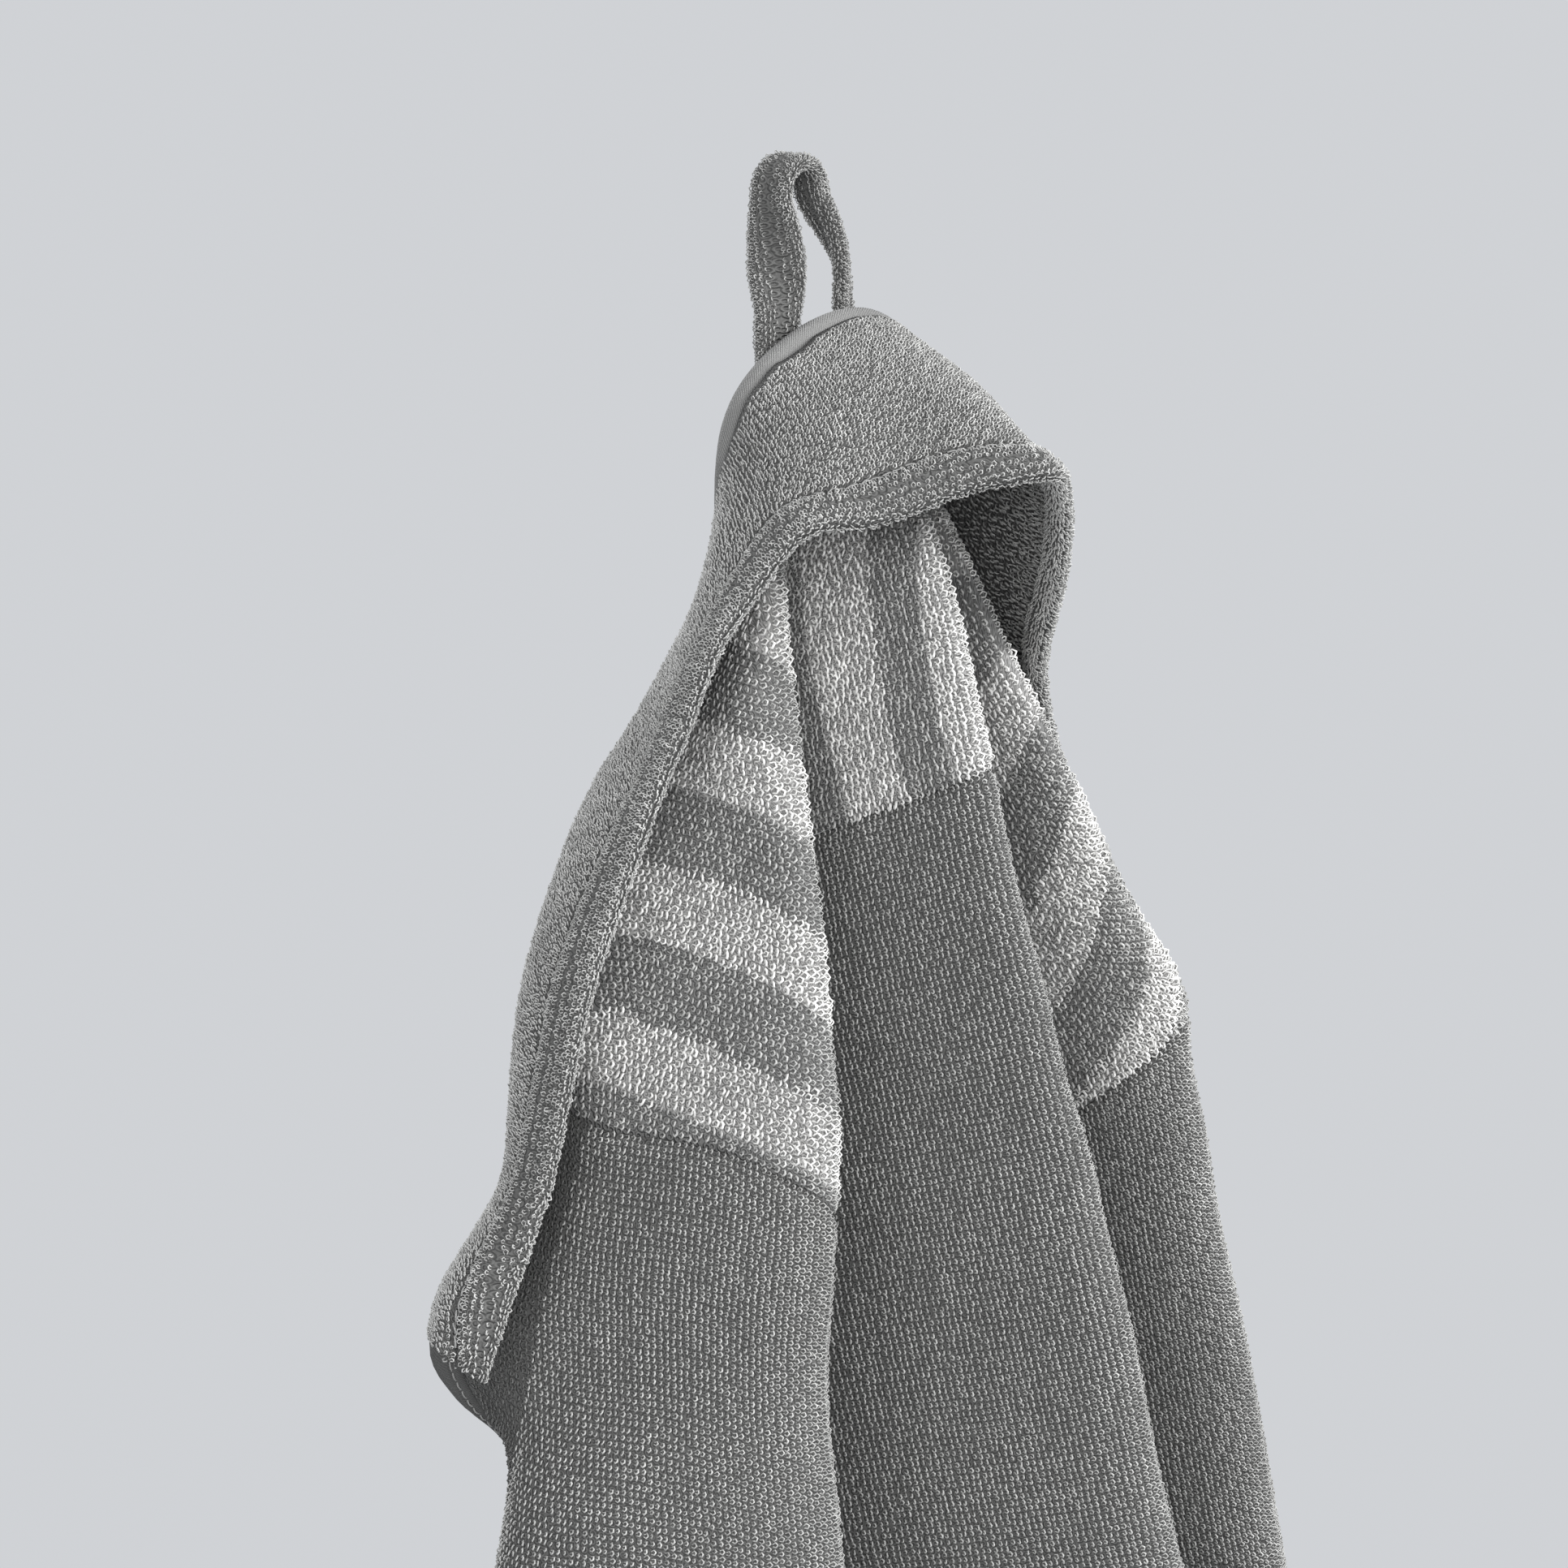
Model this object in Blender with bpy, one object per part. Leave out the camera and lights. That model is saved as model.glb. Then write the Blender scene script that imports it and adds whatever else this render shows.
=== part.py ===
"""Hooded baby towel, hanging from its loop.

Millimetres inside, metres out.  Origin: the seat of the loop on a peg.  +X right
along the wall, -Y into the room, +Z up.  The body is one pleated surface carried
by nine vertical rails; every panel is cut from it.
"""
import math

import bpy
import numpy as np

for old in list(bpy.data.objects):
    bpy.data.objects.remove(old, do_unlink=True)

# ---------------------------------------------------------------- driving sizes (mm)
BODY_DROP = 960.0       # corner binding down to the bottom corner
FOLD_SPREAD = 388.0     # width over the outer folds, level with the side corners
FOLD_DEPTH = 164.0      # how far the centre fold stands out, same level
CLOTH = 3.0             # terry thickness
GAP = 0.6               # clearance between neighbouring pieces
SEAM_GAP = 1.1          # the same, measured in height across the sloping seams
HEM_WIDTH = 11.0        # rolled hem of the hood
HEM_THICK = 5.2
BIND_R = 3.4            # edge binding, half its thickness
STRAP_W = 12.5          # hanging loop strap
STRAP_T = 4.4
PEG_R = 4.6             # bend radius at the top of the loop

SEAT_Y = -2.0           # the strap's middle on the peg; becomes the origin
SX = FOLD_SPREAD / 388.0
SY = FOLD_DEPTH / 164.0
TOP = -39.0             # top edge of the cloth under the binding
SZ = BODY_DROP / 960.0

# ---------------------------------------------------------------- rails of the body
# (z, x, y) from the top down; columns are spaced by the cloth between them
T_COL = np.array([-1.0, -0.90, -0.62, -0.336, 0.054, 0.417, 0.685, 0.915, 1.0])
T_VL, T_VR = T_COL[3], T_COL[5]
RAILS = [
    [(-41, -19, -12), (-60, -24.5, -11), (-77, -25, -8), (-93, -27, -5), (-112, -39, -4), (-131, -59, -4),
     (-162, -77, -4), (-187, -85, -4), (-210, -89, -4), (-224, -97, -5), (-235, -110, -7), (-243, -119, -8),
     (-251, -117, -8.5), (-262, -107, -8), (-274, -95, -7), (-300, -84, -5), (-340, -80, -4), (-420, -80, -3),
     (-560, -90, -3), (-700, -104, -4)],
    [(-41, -17, -12), (-62, -22, -13), (-89, -31, -15), (-118, -49.5, -17), (-143, -60, -17), (-174, -73, -17),
     (-219, -91, -17), (-293, -115, -17), (-400, -143, -17), (-550, -172, -18), (-690, -190, -20), (-1000, -205, -20)],
    [(-41, -13, -12.5), (-62, -19, -17), (-89, -30, -23), (-116, -38, -34), (-150, -47, -46.5), (-217, -62, -65),
     (-251, -70, -69), (-290, -77, -78), (-400, -96, -103), (-550, -116, -136), (-690, -130, -158), (-1000, -145, -175)],
    [(-41, -7, -12), (-62, -11, -13), (-89, -17, -12), (-150, -24, -10), (-217, -32, -9), (-290, -40, -9),
     (-400, -50, -12), (-550, -62, -16), (-690, -72, -18), (-1000, -85, -20)],
    [(-41, 1, -13), (-62, -1, -29), (-75, -3, -43), (-89, -4, -50), (-116, -2, -56), (-150, 1, -63.5),
     (-217, 7, -81), (-290, 14, -97.5), (-400, 24, -122), (-550, 33, -150), (-690, 38, -170), (-1000, 36, -182)],
    [(-41, 9, -12), (-62, 11, -12.5), (-89, 15, -13), (-116, 20, -12), (-150, 26, -11), (-217, 36, -10),
     (-290, 48, -9), (-400, 62, -12), (-550, 78, -16), (-690, 90, -18), (-1000, 100, -20)],
    [(-41, 16, -12.5), (-62, 19, -20), (-89, 24, -32.5), (-116, 34, -40.5), (-150, 48, -50), (-170, 57, -55),
     (-186, 63, -62), (-217, 70, -65), (-254, 78, -68), (-290, 86, -70), (-400, 101, -86), (-550, 124, -118),
     (-690, 142, -138), (-1000, 155, -152)],
    [(-41, 20, -12), (-62, 25, -13), (-89, 33, -14), (-116, 46, -14), (-150, 69, -13), (-217, 97, -13),
     (-290, 115, -13), (-400, 143, -15), (-550, 170, -17), (-690, 188, -18), (-1000, 204, -20)],
    [(-41, 23, -12), (-57, 29, -11), (-76, 32, -8), (-92, 37, -5), (-110, 49, -4), (-130, 64, -4), (-160, 84, -4),
     (-185, 94, -4), (-210, 102, -4), (-232, 108, -5), (-262, 111, -6), (-300, 106, -4), (-420, 92, -3),
     (-560, 98, -3), (-700, 106, -4)],
]
# where the cloth starts, where the two cuts run and where it ends: height over the column parameter
CROWN = [(-1.0, -48), (-0.62, -44.5), (-0.336, -42), (0.054, -39.5), (0.417, -38.2), (0.685, -38.6), (0.915, -41.5), (1.0, -45)]
SEAM_SIDE = [(-1.0, -196), (-0.90, -201), (-0.76, -204), (-0.62, -216), (-0.336, -238), (0.054, -240),
             (0.417, -248), (0.685, -198), (0.915, -190), (1.0, -186)]
SEAM_MID = [(-0.336, -158), (-0.15, -141), (0.054, -129), (0.25, -136), (0.417, -145)]
BOTTOM = [(0.0, -998), (0.098, -925), (0.276, -828), (0.415, -778), (0.54, -747), (0.68, -727), (0.93, -712), (1.0, -692)]
# hood: (point on the edge, half way, free edge) for each station, left end to right end
HOOD = [
    ((-123, -8, -243), (-134, -16, -240), (-123.5, -18, -249)), ((-104, -5, -229), (-127, -14, -229), (-120, -24, -231)),
    ((-93, -4, -212), (-109.5, -14, -211), (-112, -27, -210)), ((-89, -4, -187), (-102.5, -13, -187.5), (-106, -29, -185)),
    ((-81, -4, -161), (-97, -12.5, -164), (-100, -31, -162)), ((-63, -4, -131), (-78, -11, -135), (-87, -32, -136)),
    ((-42, -4, -112), (-60, -11.5, -115), (-74.5, -33.5, -115)), ((-30, -5, -93), (-50.5, -15, -97), (-67, -35.5, -96.5)),
    ((-28, -8, -77), (-46, -20, -81), (-57, -39, -84.5)), ((-28, -11, -59), (-40, -28, -66), (-46, -45, -72)),
    ((-22, -12, -41), (-30, -34, -55), (-33, -55.5, -69.5)), ((-14, -11, -37), (-16, -41, -48), (-17, -66, -64)),
    ((0, -11, -35), (-2, -45, -43.5), (-4, -79, -61)),
    ((12, -11, -35), (11, -45, -46), (3, -77, -65)), ((23, -12, -38), (26, -41, -56), (13, -70, -73.5)),
    ((31, -11, -57), (38, -34, -72), (25, -60, -87)), ((35, -8, -76), (47, -26, -89), (37, -49, -98.5)),
    ((40, -5, -92), (55, -20, -104), (46, -38, -111)), ((52, -4, -110), (65, -15, -120), (54, -31, -122.5)),
    ((67, -4, -130), (77, -13, -139), (66, -27, -143)), ((87, -4, -160), (94, -13, -166), (84, -25, -167)),
    ((97, -4, -185), (106, -13, -188), (97, -23, -190)), ((105, -4, -210), (115, -13, -212), (109, -22, -213)),
    ((111, -5, -232), (118, -12, -234), (113, -18, -235)), ((115, -7, -250), (117, -11.5, -251), (113, -14, -254)),
]


def curve(keys, points, at):
    """Smooth curve through points at rising keys (cubic, end slopes one-sided)."""
    keys = np.asarray(keys, float)
    pts = np.asarray(points, float)
    flat = pts.reshape(len(keys), -1)
    slope = np.gradient(flat, keys, axis=0)
    at = np.clip(np.asarray(at, float), keys[0], keys[-1])
    i = np.clip(np.searchsorted(keys, at) - 1, 0, len(keys) - 2)
    h = (keys[i + 1] - keys[i])[..., None]
    u = ((at - keys[i]) / (keys[i + 1] - keys[i]))[..., None]
    a, b, c, d = flat[i], slope[i] * h, flat[i + 1], slope[i + 1] * h
    out = (a * (2 * u**3 - 3 * u**2 + 1) + b * (u**3 - 2 * u**2 + u)
           + c * (-2 * u**3 + 3 * u**2) + d * (u**3 - u**2))
    return out.reshape(np.shape(at) + pts.shape[1:])


def table(rows, t):
    rows = np.array(rows, float)
    return curve(rows[:, 0], rows[:, 1], t)


def body(t, z):
    """Point of the cloth at column t and height z (arrays of one shape)."""
    t, z = np.broadcast_arrays(np.asarray(t, float), np.asarray(z, float))
    ctrl = []
    for rail in RAILS:
        r = np.array(rail, float)[::-1]
        ctrl.append(curve(r[:, 0], r[:, 1:], z))
    ctrl = np.stack(ctrl, 0)
    slope = np.gradient(ctrl, T_COL, axis=0)
    i = np.clip(np.searchsorted(T_COL, t) - 1, 0, len(T_COL) - 2)
    h = (T_COL[i + 1] - T_COL[i])[..., None]
    u = ((t - T_COL[i]) / (T_COL[i + 1] - T_COL[i]))[..., None]

    def pick(a, k):
        return np.take_along_axis(a, k[None, ..., None], 0)[0]
    p = (pick(ctrl, i) * (2 * u**3 - 3 * u**2 + 1) + pick(slope, i) * h * (u**3 - 2 * u**2 + u)
         + pick(ctrl, i + 1) * (-2 * u**3 + 3 * u**2) + pick(slope, i + 1) * h * (u**3 - u**2))
    return np.concatenate([p * (SX, SY), TOP + (z[..., None] - TOP) * SZ], -1)


def top_edge(t):
    return table(CROWN, t)


def bottom_edge(t):
    return table(BOTTOM, np.sqrt(np.asarray(t) ** 2 + 0.0009) - 0.03)


def cols(a, b, n=6):
    """Columns from rail a to rail b, closer together on the crests and in the valleys."""
    u = (1 - np.cos(np.pi * np.arange(n) / n)) / 2
    t = [T_COL[i] + (T_COL[i + 1] - T_COL[i]) * u for i in range(a, b)]
    t = np.concatenate(t + [T_COL[b:b + 1]])
    if a <= 3 and b >= 5:
        t[np.argmin(np.abs(t))] = 0.0
    return t


def body_normals(t, z):
    n = np.cross(body(t + 0.004, z) - body(t - 0.004, z), body(t, z + 0.6) - body(t, z - 0.6))
    return n / np.linalg.norm(n, axis=-1, keepdims=True)


def half_at(t, z):
    """Half the cloth's thickness, less where a valley is tighter than the cloth."""
    bend = np.linalg.norm(body(t + 0.006, z) - body(t - 0.006, z), axis=-1)
    turn = np.linalg.norm(body_normals(t + 0.006, z) - body_normals(t - 0.006, z), axis=-1)
    return np.clip(0.65 * bend / np.maximum(turn, 1e-6), 0.5, CLOTH / 2)


def inset(t, z, side):
    """Move a column towards the inside of its panel by half the gap."""
    step = np.linalg.norm(body(t + 0.01, z) - body(t - 0.01, z), axis=-1) / 0.02
    return t + side * 0.5 * GAP / np.maximum(step, 20.0)


def panel(a, b, z_top, z_bot, rows, inset_l=True, inset_r=True):
    """Grid of points and normals between two rails and two heights."""
    t = cols(a, b)[None, :]
    w = np.linspace(0, 1, rows)[:, None]
    z = z_top(t) * (1 - w) + z_bot(t) * w
    t = np.broadcast_to(t, z.shape).copy()
    if inset_l:
        t[:, 0] = inset(t[:, 0], z[:, 0], 1)
    if inset_r:
        t[:, -1] = inset(t[:, -1], z[:, -1], -1)
    return body(t, z), body_normals(t, z), half_at(t, z)


def material(name, rgb, rough):
    m = bpy.data.materials.new(name)
    m.use_nodes = True
    b = m.node_tree.nodes["Principled BSDF"]
    b.inputs["Base Color"].default_value = (*rgb, 1)
    b.inputs["Roughness"].default_value = rough
    m.diffuse_color = (*rgb, 1)
    return m


def add(name, verts, faces, rgb, rough=0.9):
    me = bpy.data.meshes.new(name)
    me.from_pydata(((np.asarray(verts) - (0, SEAT_Y, 0)) * 0.001).tolist(), [], [list(f) for f in faces])
    me.update()
    o = bpy.data.objects.new(name, me)
    bpy.context.scene.collection.objects.link(o)
    me.materials.append(material(name, rgb, rough))
    return o


def thicken(name, pts, nrm, quads, half, rgb):
    """Closed body from a patch: front, back and a wall along every free edge."""
    n = len(pts)
    half = np.broadcast_to(np.asarray(half, float), (n,))[:, None]
    verts = np.concatenate([pts + nrm * half, pts - nrm * half])
    faces, count = [], {}
    for q in quads:
        faces.append(tuple(q))
        faces.append(tuple(v + n for v in reversed(q)))
        for a, b in zip(q, list(q[1:]) + [q[0]]):
            count[(a, b)] = 1
    for a, b in count:
        if (b, a) not in count:
            faces.append((b, a, a + n, b + n))
    return add(name, verts, faces, rgb)


def grid_quads(rows, n, base=0):
    return [(base + r * n + c, base + (r + 1) * n + c, base + (r + 1) * n + c + 1, base + r * n + c + 1)
            for r in range(rows - 1) for c in range(n - 1)]


def thick_grid(name, p, half, rgb, nrm):
    rows, n, _ = p.shape
    return thicken(name, p.reshape(-1, 3), nrm.reshape(-1, 3), grid_quads(rows, n), half, rgb)


def sweep(name, centre, u_axis, v_axis, profile, rgb, closed):
    """Tube: the profile's (u, v) laid off from each centre along its two axes."""
    k, m = len(centre), len(profile)
    pts = (centre[:, None] + u_axis[:, None] * profile[None, :, :1] + v_axis[:, None] * profile[None, :, 1:]).reshape(-1, 3)
    faces = []
    for i in range(k if closed else k - 1):
        j = (i + 1) % k
        for a in range(m):
            b = (a + 1) % m
            faces.append((i * m + a, i * m + b, j * m + b, j * m + a))
    if not closed:
        faces.append(tuple(reversed(range(m))))
        faces.append(tuple((k - 1) * m + a for a in range(m)))
    return add(name, pts, faces, rgb)


def unit(v):
    return v / np.maximum(np.linalg.norm(v, axis=-1, keepdims=True), 1e-9)


# ---------------------------------------------------------------- body panels
GREY, GREY_D, GREY_L = (0.26, 0.26, 0.255), (0.20, 0.20, 0.195), (0.36, 0.36, 0.355)
HALF = CLOTH / 2


def side_seam(t):
    return table(SEAM_SIDE, t)


def mid_seam(t):
    return table(SEAM_MID, t)


def yoke(name, a, b, seam, rows, **inset_sides):
    p, n, half = panel(a, b, top_edge, lambda t: seam(t) + SEAM_GAP / 2, rows, **inset_sides)
    thick_grid(name, p, half.reshape(-1), GREY_L, n)
    return p


p_left = yoke("yoke_left", 0, 3, side_seam, 20, inset_l=False)
p_mid = yoke("yoke_center", 3, 5, mid_seam, 19)
p_right = yoke("yoke_right", 5, 8, side_seam, 26, inset_r=False)

# the main panel: everything under the side seams plus the tongue up to the centre yoke
t_all = cols(0, 8)
n_all, rows = len(t_all), 34
w = (np.linspace(0, 1, rows) ** 1.45)[:, None]
z_low = (side_seam(t_all) - SEAM_GAP / 2)[None] * (1 - w) + bottom_edge(t_all)[None] * w
t_low = np.broadcast_to(t_all, z_low.shape)
low = body(t_low, z_low)
c0, c1 = 18, 30
t_mid = t_all[c0:c1 + 1]
up_rows = 7
wu = np.linspace(0, 1, up_rows)[:-1, None]
z_up = (mid_seam(t_mid) - SEAM_GAP / 2)[None] * (1 - wu) + z_low[:1, c0:c1 + 1] * wu
t_up = np.broadcast_to(t_mid, z_up.shape).copy()
t_up[:, 0] = inset(t_up[:, 0], z_up[:, 0], 1)
t_up[:, -1] = inset(t_up[:, -1], z_up[:, -1], -1)
n_mid = len(t_mid)
pts = np.concatenate([low.reshape(-1, 3), body(t_up, z_up).reshape(-1, 3)])
nrm = np.concatenate([body_normals(t_low, z_low).reshape(-1, 3), body_normals(t_up, z_up).reshape(-1, 3)])
quads = grid_quads(rows, n_all) + grid_quads(up_rows - 1, n_mid, rows * n_all)
last = rows * n_all + (up_rows - 2) * n_mid
quads += [(last + c, c0 + c, c0 + c + 1, last + c + 1) for c in range(n_mid - 1)]
half = np.concatenate([half_at(t_low, z_low).reshape(-1), half_at(t_up, z_up).reshape(-1)])
thicken("main_panel", pts, nrm, quads, half, GREY)

# ---------------------------------------------------------------- edge binding
# a bead beside the free edges, ring by ring with the cloth's own edge points
edge = np.concatenate([p_left[0, :-1], p_mid[0, :-1], p_right[0], p_right[1:-1, -1], low[:, -1],
                       low[-1, -2::-1], low[-2::-1, 0], p_left[-2:0:-1, 0]])
inner = np.concatenate([p_left[1, :-1], p_mid[1, :-1], p_right[1], p_right[1:-1, -2], low[:, -2],
                        low[-2, -2::-1], low[-2::-1, 1], p_left[-2:0:-1, 1]])
ahead = unit(np.roll(edge, -1, 0) - edge)
behind = np.roll(ahead, 1, 0)
bead_t = unit(ahead + behind)
away = unit(edge - inner)


def square_to(v, run):
    return unit(v - run * np.sum(v * run, -1, keepdims=True))


out_a, out_b = square_to(away, ahead), square_to(away, behind)
bead_u = unit(out_a + out_b)
for k in range(len(edge)):
    if np.dot(ahead[k], behind[k]) < 0.75 and abs(np.dot(unit(ahead[k] - behind[k]), away[k])) > 0.6:
        bead_u[k] = unit(behind[k] - ahead[k])
bead_u = square_to(bead_u, bead_t)
flat = np.minimum(np.sum(bead_u * out_a, -1), np.sum(bead_u * out_b, -1))[:, None]
bead_c = edge + bead_u * (BIND_R + GAP - 0.05) / np.clip(flat, 0.6, 1.0)
bead_v = np.cross(bead_t, bead_u)
ang = np.arange(8) * math.tau / 8 + math.tau / 16
ring8 = np.stack([np.cos(ang), np.sin(ang)], -1) * BIND_R
sweep("edge_binding", bead_c, bead_u, bead_v, ring8, GREY_D, True)

# ---------------------------------------------------------------- hood and its hem
stations = np.array(HOOD, float)
stations[..., 0] *= SX
stations[..., 1] *= SY
stations[..., 2] = TOP + (stations[..., 2] - TOP) * SZ
COLS = 57
stations = curve(np.linspace(0, COLS - 1, len(stations)), stations, np.arange(COLS, dtype=float))
seg_a, seg_b = bead_c, np.roll(bead_c, -1, 0)
for s in stations:
    along_seg = seg_b - seg_a
    u = np.clip(np.sum((s[0] - seg_a) * along_seg, -1) / np.sum(along_seg**2, -1), 0, 1)[:, None]
    feet = seg_a + along_seg * u
    k = int(np.argmin(np.linalg.norm(feet - s[0], axis=1)))
    d = unit(s[1] - feet[k]) + bead_u[k] * 0.6
    d -= bead_t[k] * np.dot(d, bead_t[k])
    s[0] = feet[k] + unit(d) * (BIND_R + GAP + 1.0)
keys = np.arange(COLS, dtype=float)


def hood(s, k):
    """Hood surface: s from the bound edge (0) to the free edge (1), k along it."""
    b, m, h = (curve(keys, stations[:, i], k) for i in range(3))
    s = np.asarray(s, float)[..., None]
    return b * (1 - s) * (1 - 2 * s) + m * 4 * s * (1 - s) + h * s * (2 * s - 1)




def hood_normals(s, k):
    a, b = np.clip(s - 0.01, 0, 1), np.clip(s + 0.01, 0, 1)
    n = np.cross(hood(s, np.clip(k + 0.2, 0, COLS - 1)) - hood(s, np.clip(k - 0.2, 0, COLS - 1)), hood(b, k) - hood(a, k))
    return -n / np.linalg.norm(n, axis=-1, keepdims=True)


def hood_piece(name, s, half, rgb):
    k = np.broadcast_to(keys, s.shape)
    thick_grid(name, hood(s, k), half, rgb, hood_normals(s, k))


k_fine = keys
probe = hood(np.linspace(0, 1, 21)[:, None], np.broadcast_to(k_fine, (21, COLS)))
seg = np.linalg.norm(np.diff(probe, axis=0), axis=-1)
arc = np.concatenate([np.zeros((1, COLS)), np.cumsum(seg, 0)])


def at_arc(dist):
    """Parameter s for a distance (per column) measured from the bound edge."""
    return np.array([np.interp(dist[j], arc[:, j], np.linspace(0, 1, 21)) for j in range(COLS)])


length = arc[-1]
hem_from = np.maximum(length - HEM_WIDTH, 0.22 * length)
f = np.linspace(0, 1, 9)[:, None]
s_grid = np.stack([at_arc(r) for r in f * (hem_from - GAP / 2)[None]])
hood_piece("hood_panel", s_grid, HALF, GREY)
f = np.array([0, 0.1, 0.35, 0.65, 0.9, 1.0])
s_hem = np.stack([at_arc(hem_from + GAP / 2 + (length - hem_from - GAP / 2) * x) for x in f])
half = np.repeat((HEM_THICK / 2 * np.array([0.55, 0.85, 1.0, 1.0, 0.8, 0.42]))[:, None], COLS, 1)
hood_piece("hood_hem", s_hem, half.reshape(-1), GREY_D)

# ---------------------------------------------------------------- hanging loop
# centre line of the strap: x, y, z, turn of its flat side (degrees), width
bend = PEG_R + STRAP_T / 2
LEGS = [[(-8.5, -7.4, -53, 88, 1.0), (-8.5, -5.8, -45, 88, 1.0), (-8.3, -4.7, -37, 88, 1.0), (-7.7, -4.8, -30, 80, 1.0),
         (-7.1, -3.8, -21, 44, 1.0), (-6.8, -2.8, -13, 26, 0.92)],
        [(9.0, -4.6, -12, -22, 0.92), (12, -6.4, -20, -48, 1.0), (15, -4.6, -29.5, -84, 1.0), (16.2, -3.9, -37, -88, 1.0),
         (16.4, -4.2, -44, -88, 1.0), (16.4, -5.4, -53, -88, 1.0)]]
over = [(bend * math.cos(a), SEAT_Y, -PEG_R + bend * math.sin(a), 8 * math.cos(a) * -1, 0.78)
        for a in np.linspace(math.pi, 0, 9)]
path = np.array(LEGS[0] + over + LEGS[1], float)
k_in = np.concatenate([[0], np.cumsum(np.linalg.norm(np.diff(path[:, :3], axis=0), axis=1))])
path = curve(k_in, path, np.linspace(0, k_in[-1], 57))
strap, turn, broad = path[:, :3], np.radians(path[:, 3]), path[:, 4] * STRAP_W / 2
wide = np.stack([np.sin(turn), -np.cos(turn), 0 * turn], -1)
run = unit(np.gradient(strap, axis=0))
wide = unit(wide - run * np.sum(wide * run, -1, keepdims=True))
thick_dir = np.cross(run, wide)
b, c = STRAP_T / 2, 1.2
profile = np.array([(-1, -b + c), (-0.82, -b), (0.82, -b), (1, -b + c), (1, b - c), (0.82, b), (-0.82, b), (-1, b - c)])
sweep("hanging_loop", strap, wide * broad[:, None], thick_dir, profile, GREY_D, False)
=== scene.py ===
import math

import bpy
import numpy as np
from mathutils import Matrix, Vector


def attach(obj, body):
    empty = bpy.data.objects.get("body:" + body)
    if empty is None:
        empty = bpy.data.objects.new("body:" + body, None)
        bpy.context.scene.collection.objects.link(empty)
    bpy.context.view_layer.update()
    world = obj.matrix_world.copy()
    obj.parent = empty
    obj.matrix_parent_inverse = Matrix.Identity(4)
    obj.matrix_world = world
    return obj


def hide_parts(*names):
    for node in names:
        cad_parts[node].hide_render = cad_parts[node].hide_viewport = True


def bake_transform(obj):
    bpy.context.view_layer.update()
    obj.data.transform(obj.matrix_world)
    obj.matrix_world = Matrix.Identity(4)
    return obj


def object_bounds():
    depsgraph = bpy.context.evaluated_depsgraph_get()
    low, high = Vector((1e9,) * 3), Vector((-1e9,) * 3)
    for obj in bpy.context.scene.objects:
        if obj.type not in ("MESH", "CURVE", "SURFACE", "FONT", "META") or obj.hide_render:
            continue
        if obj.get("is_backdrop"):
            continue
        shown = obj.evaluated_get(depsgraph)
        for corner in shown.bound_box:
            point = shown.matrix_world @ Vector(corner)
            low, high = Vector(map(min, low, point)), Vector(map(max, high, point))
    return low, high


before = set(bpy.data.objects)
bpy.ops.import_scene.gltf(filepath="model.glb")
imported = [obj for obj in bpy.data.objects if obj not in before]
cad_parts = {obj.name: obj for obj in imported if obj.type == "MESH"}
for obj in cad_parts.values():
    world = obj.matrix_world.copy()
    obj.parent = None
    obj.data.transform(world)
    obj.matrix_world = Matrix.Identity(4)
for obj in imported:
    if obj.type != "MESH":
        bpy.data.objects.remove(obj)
cad_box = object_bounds()

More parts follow.
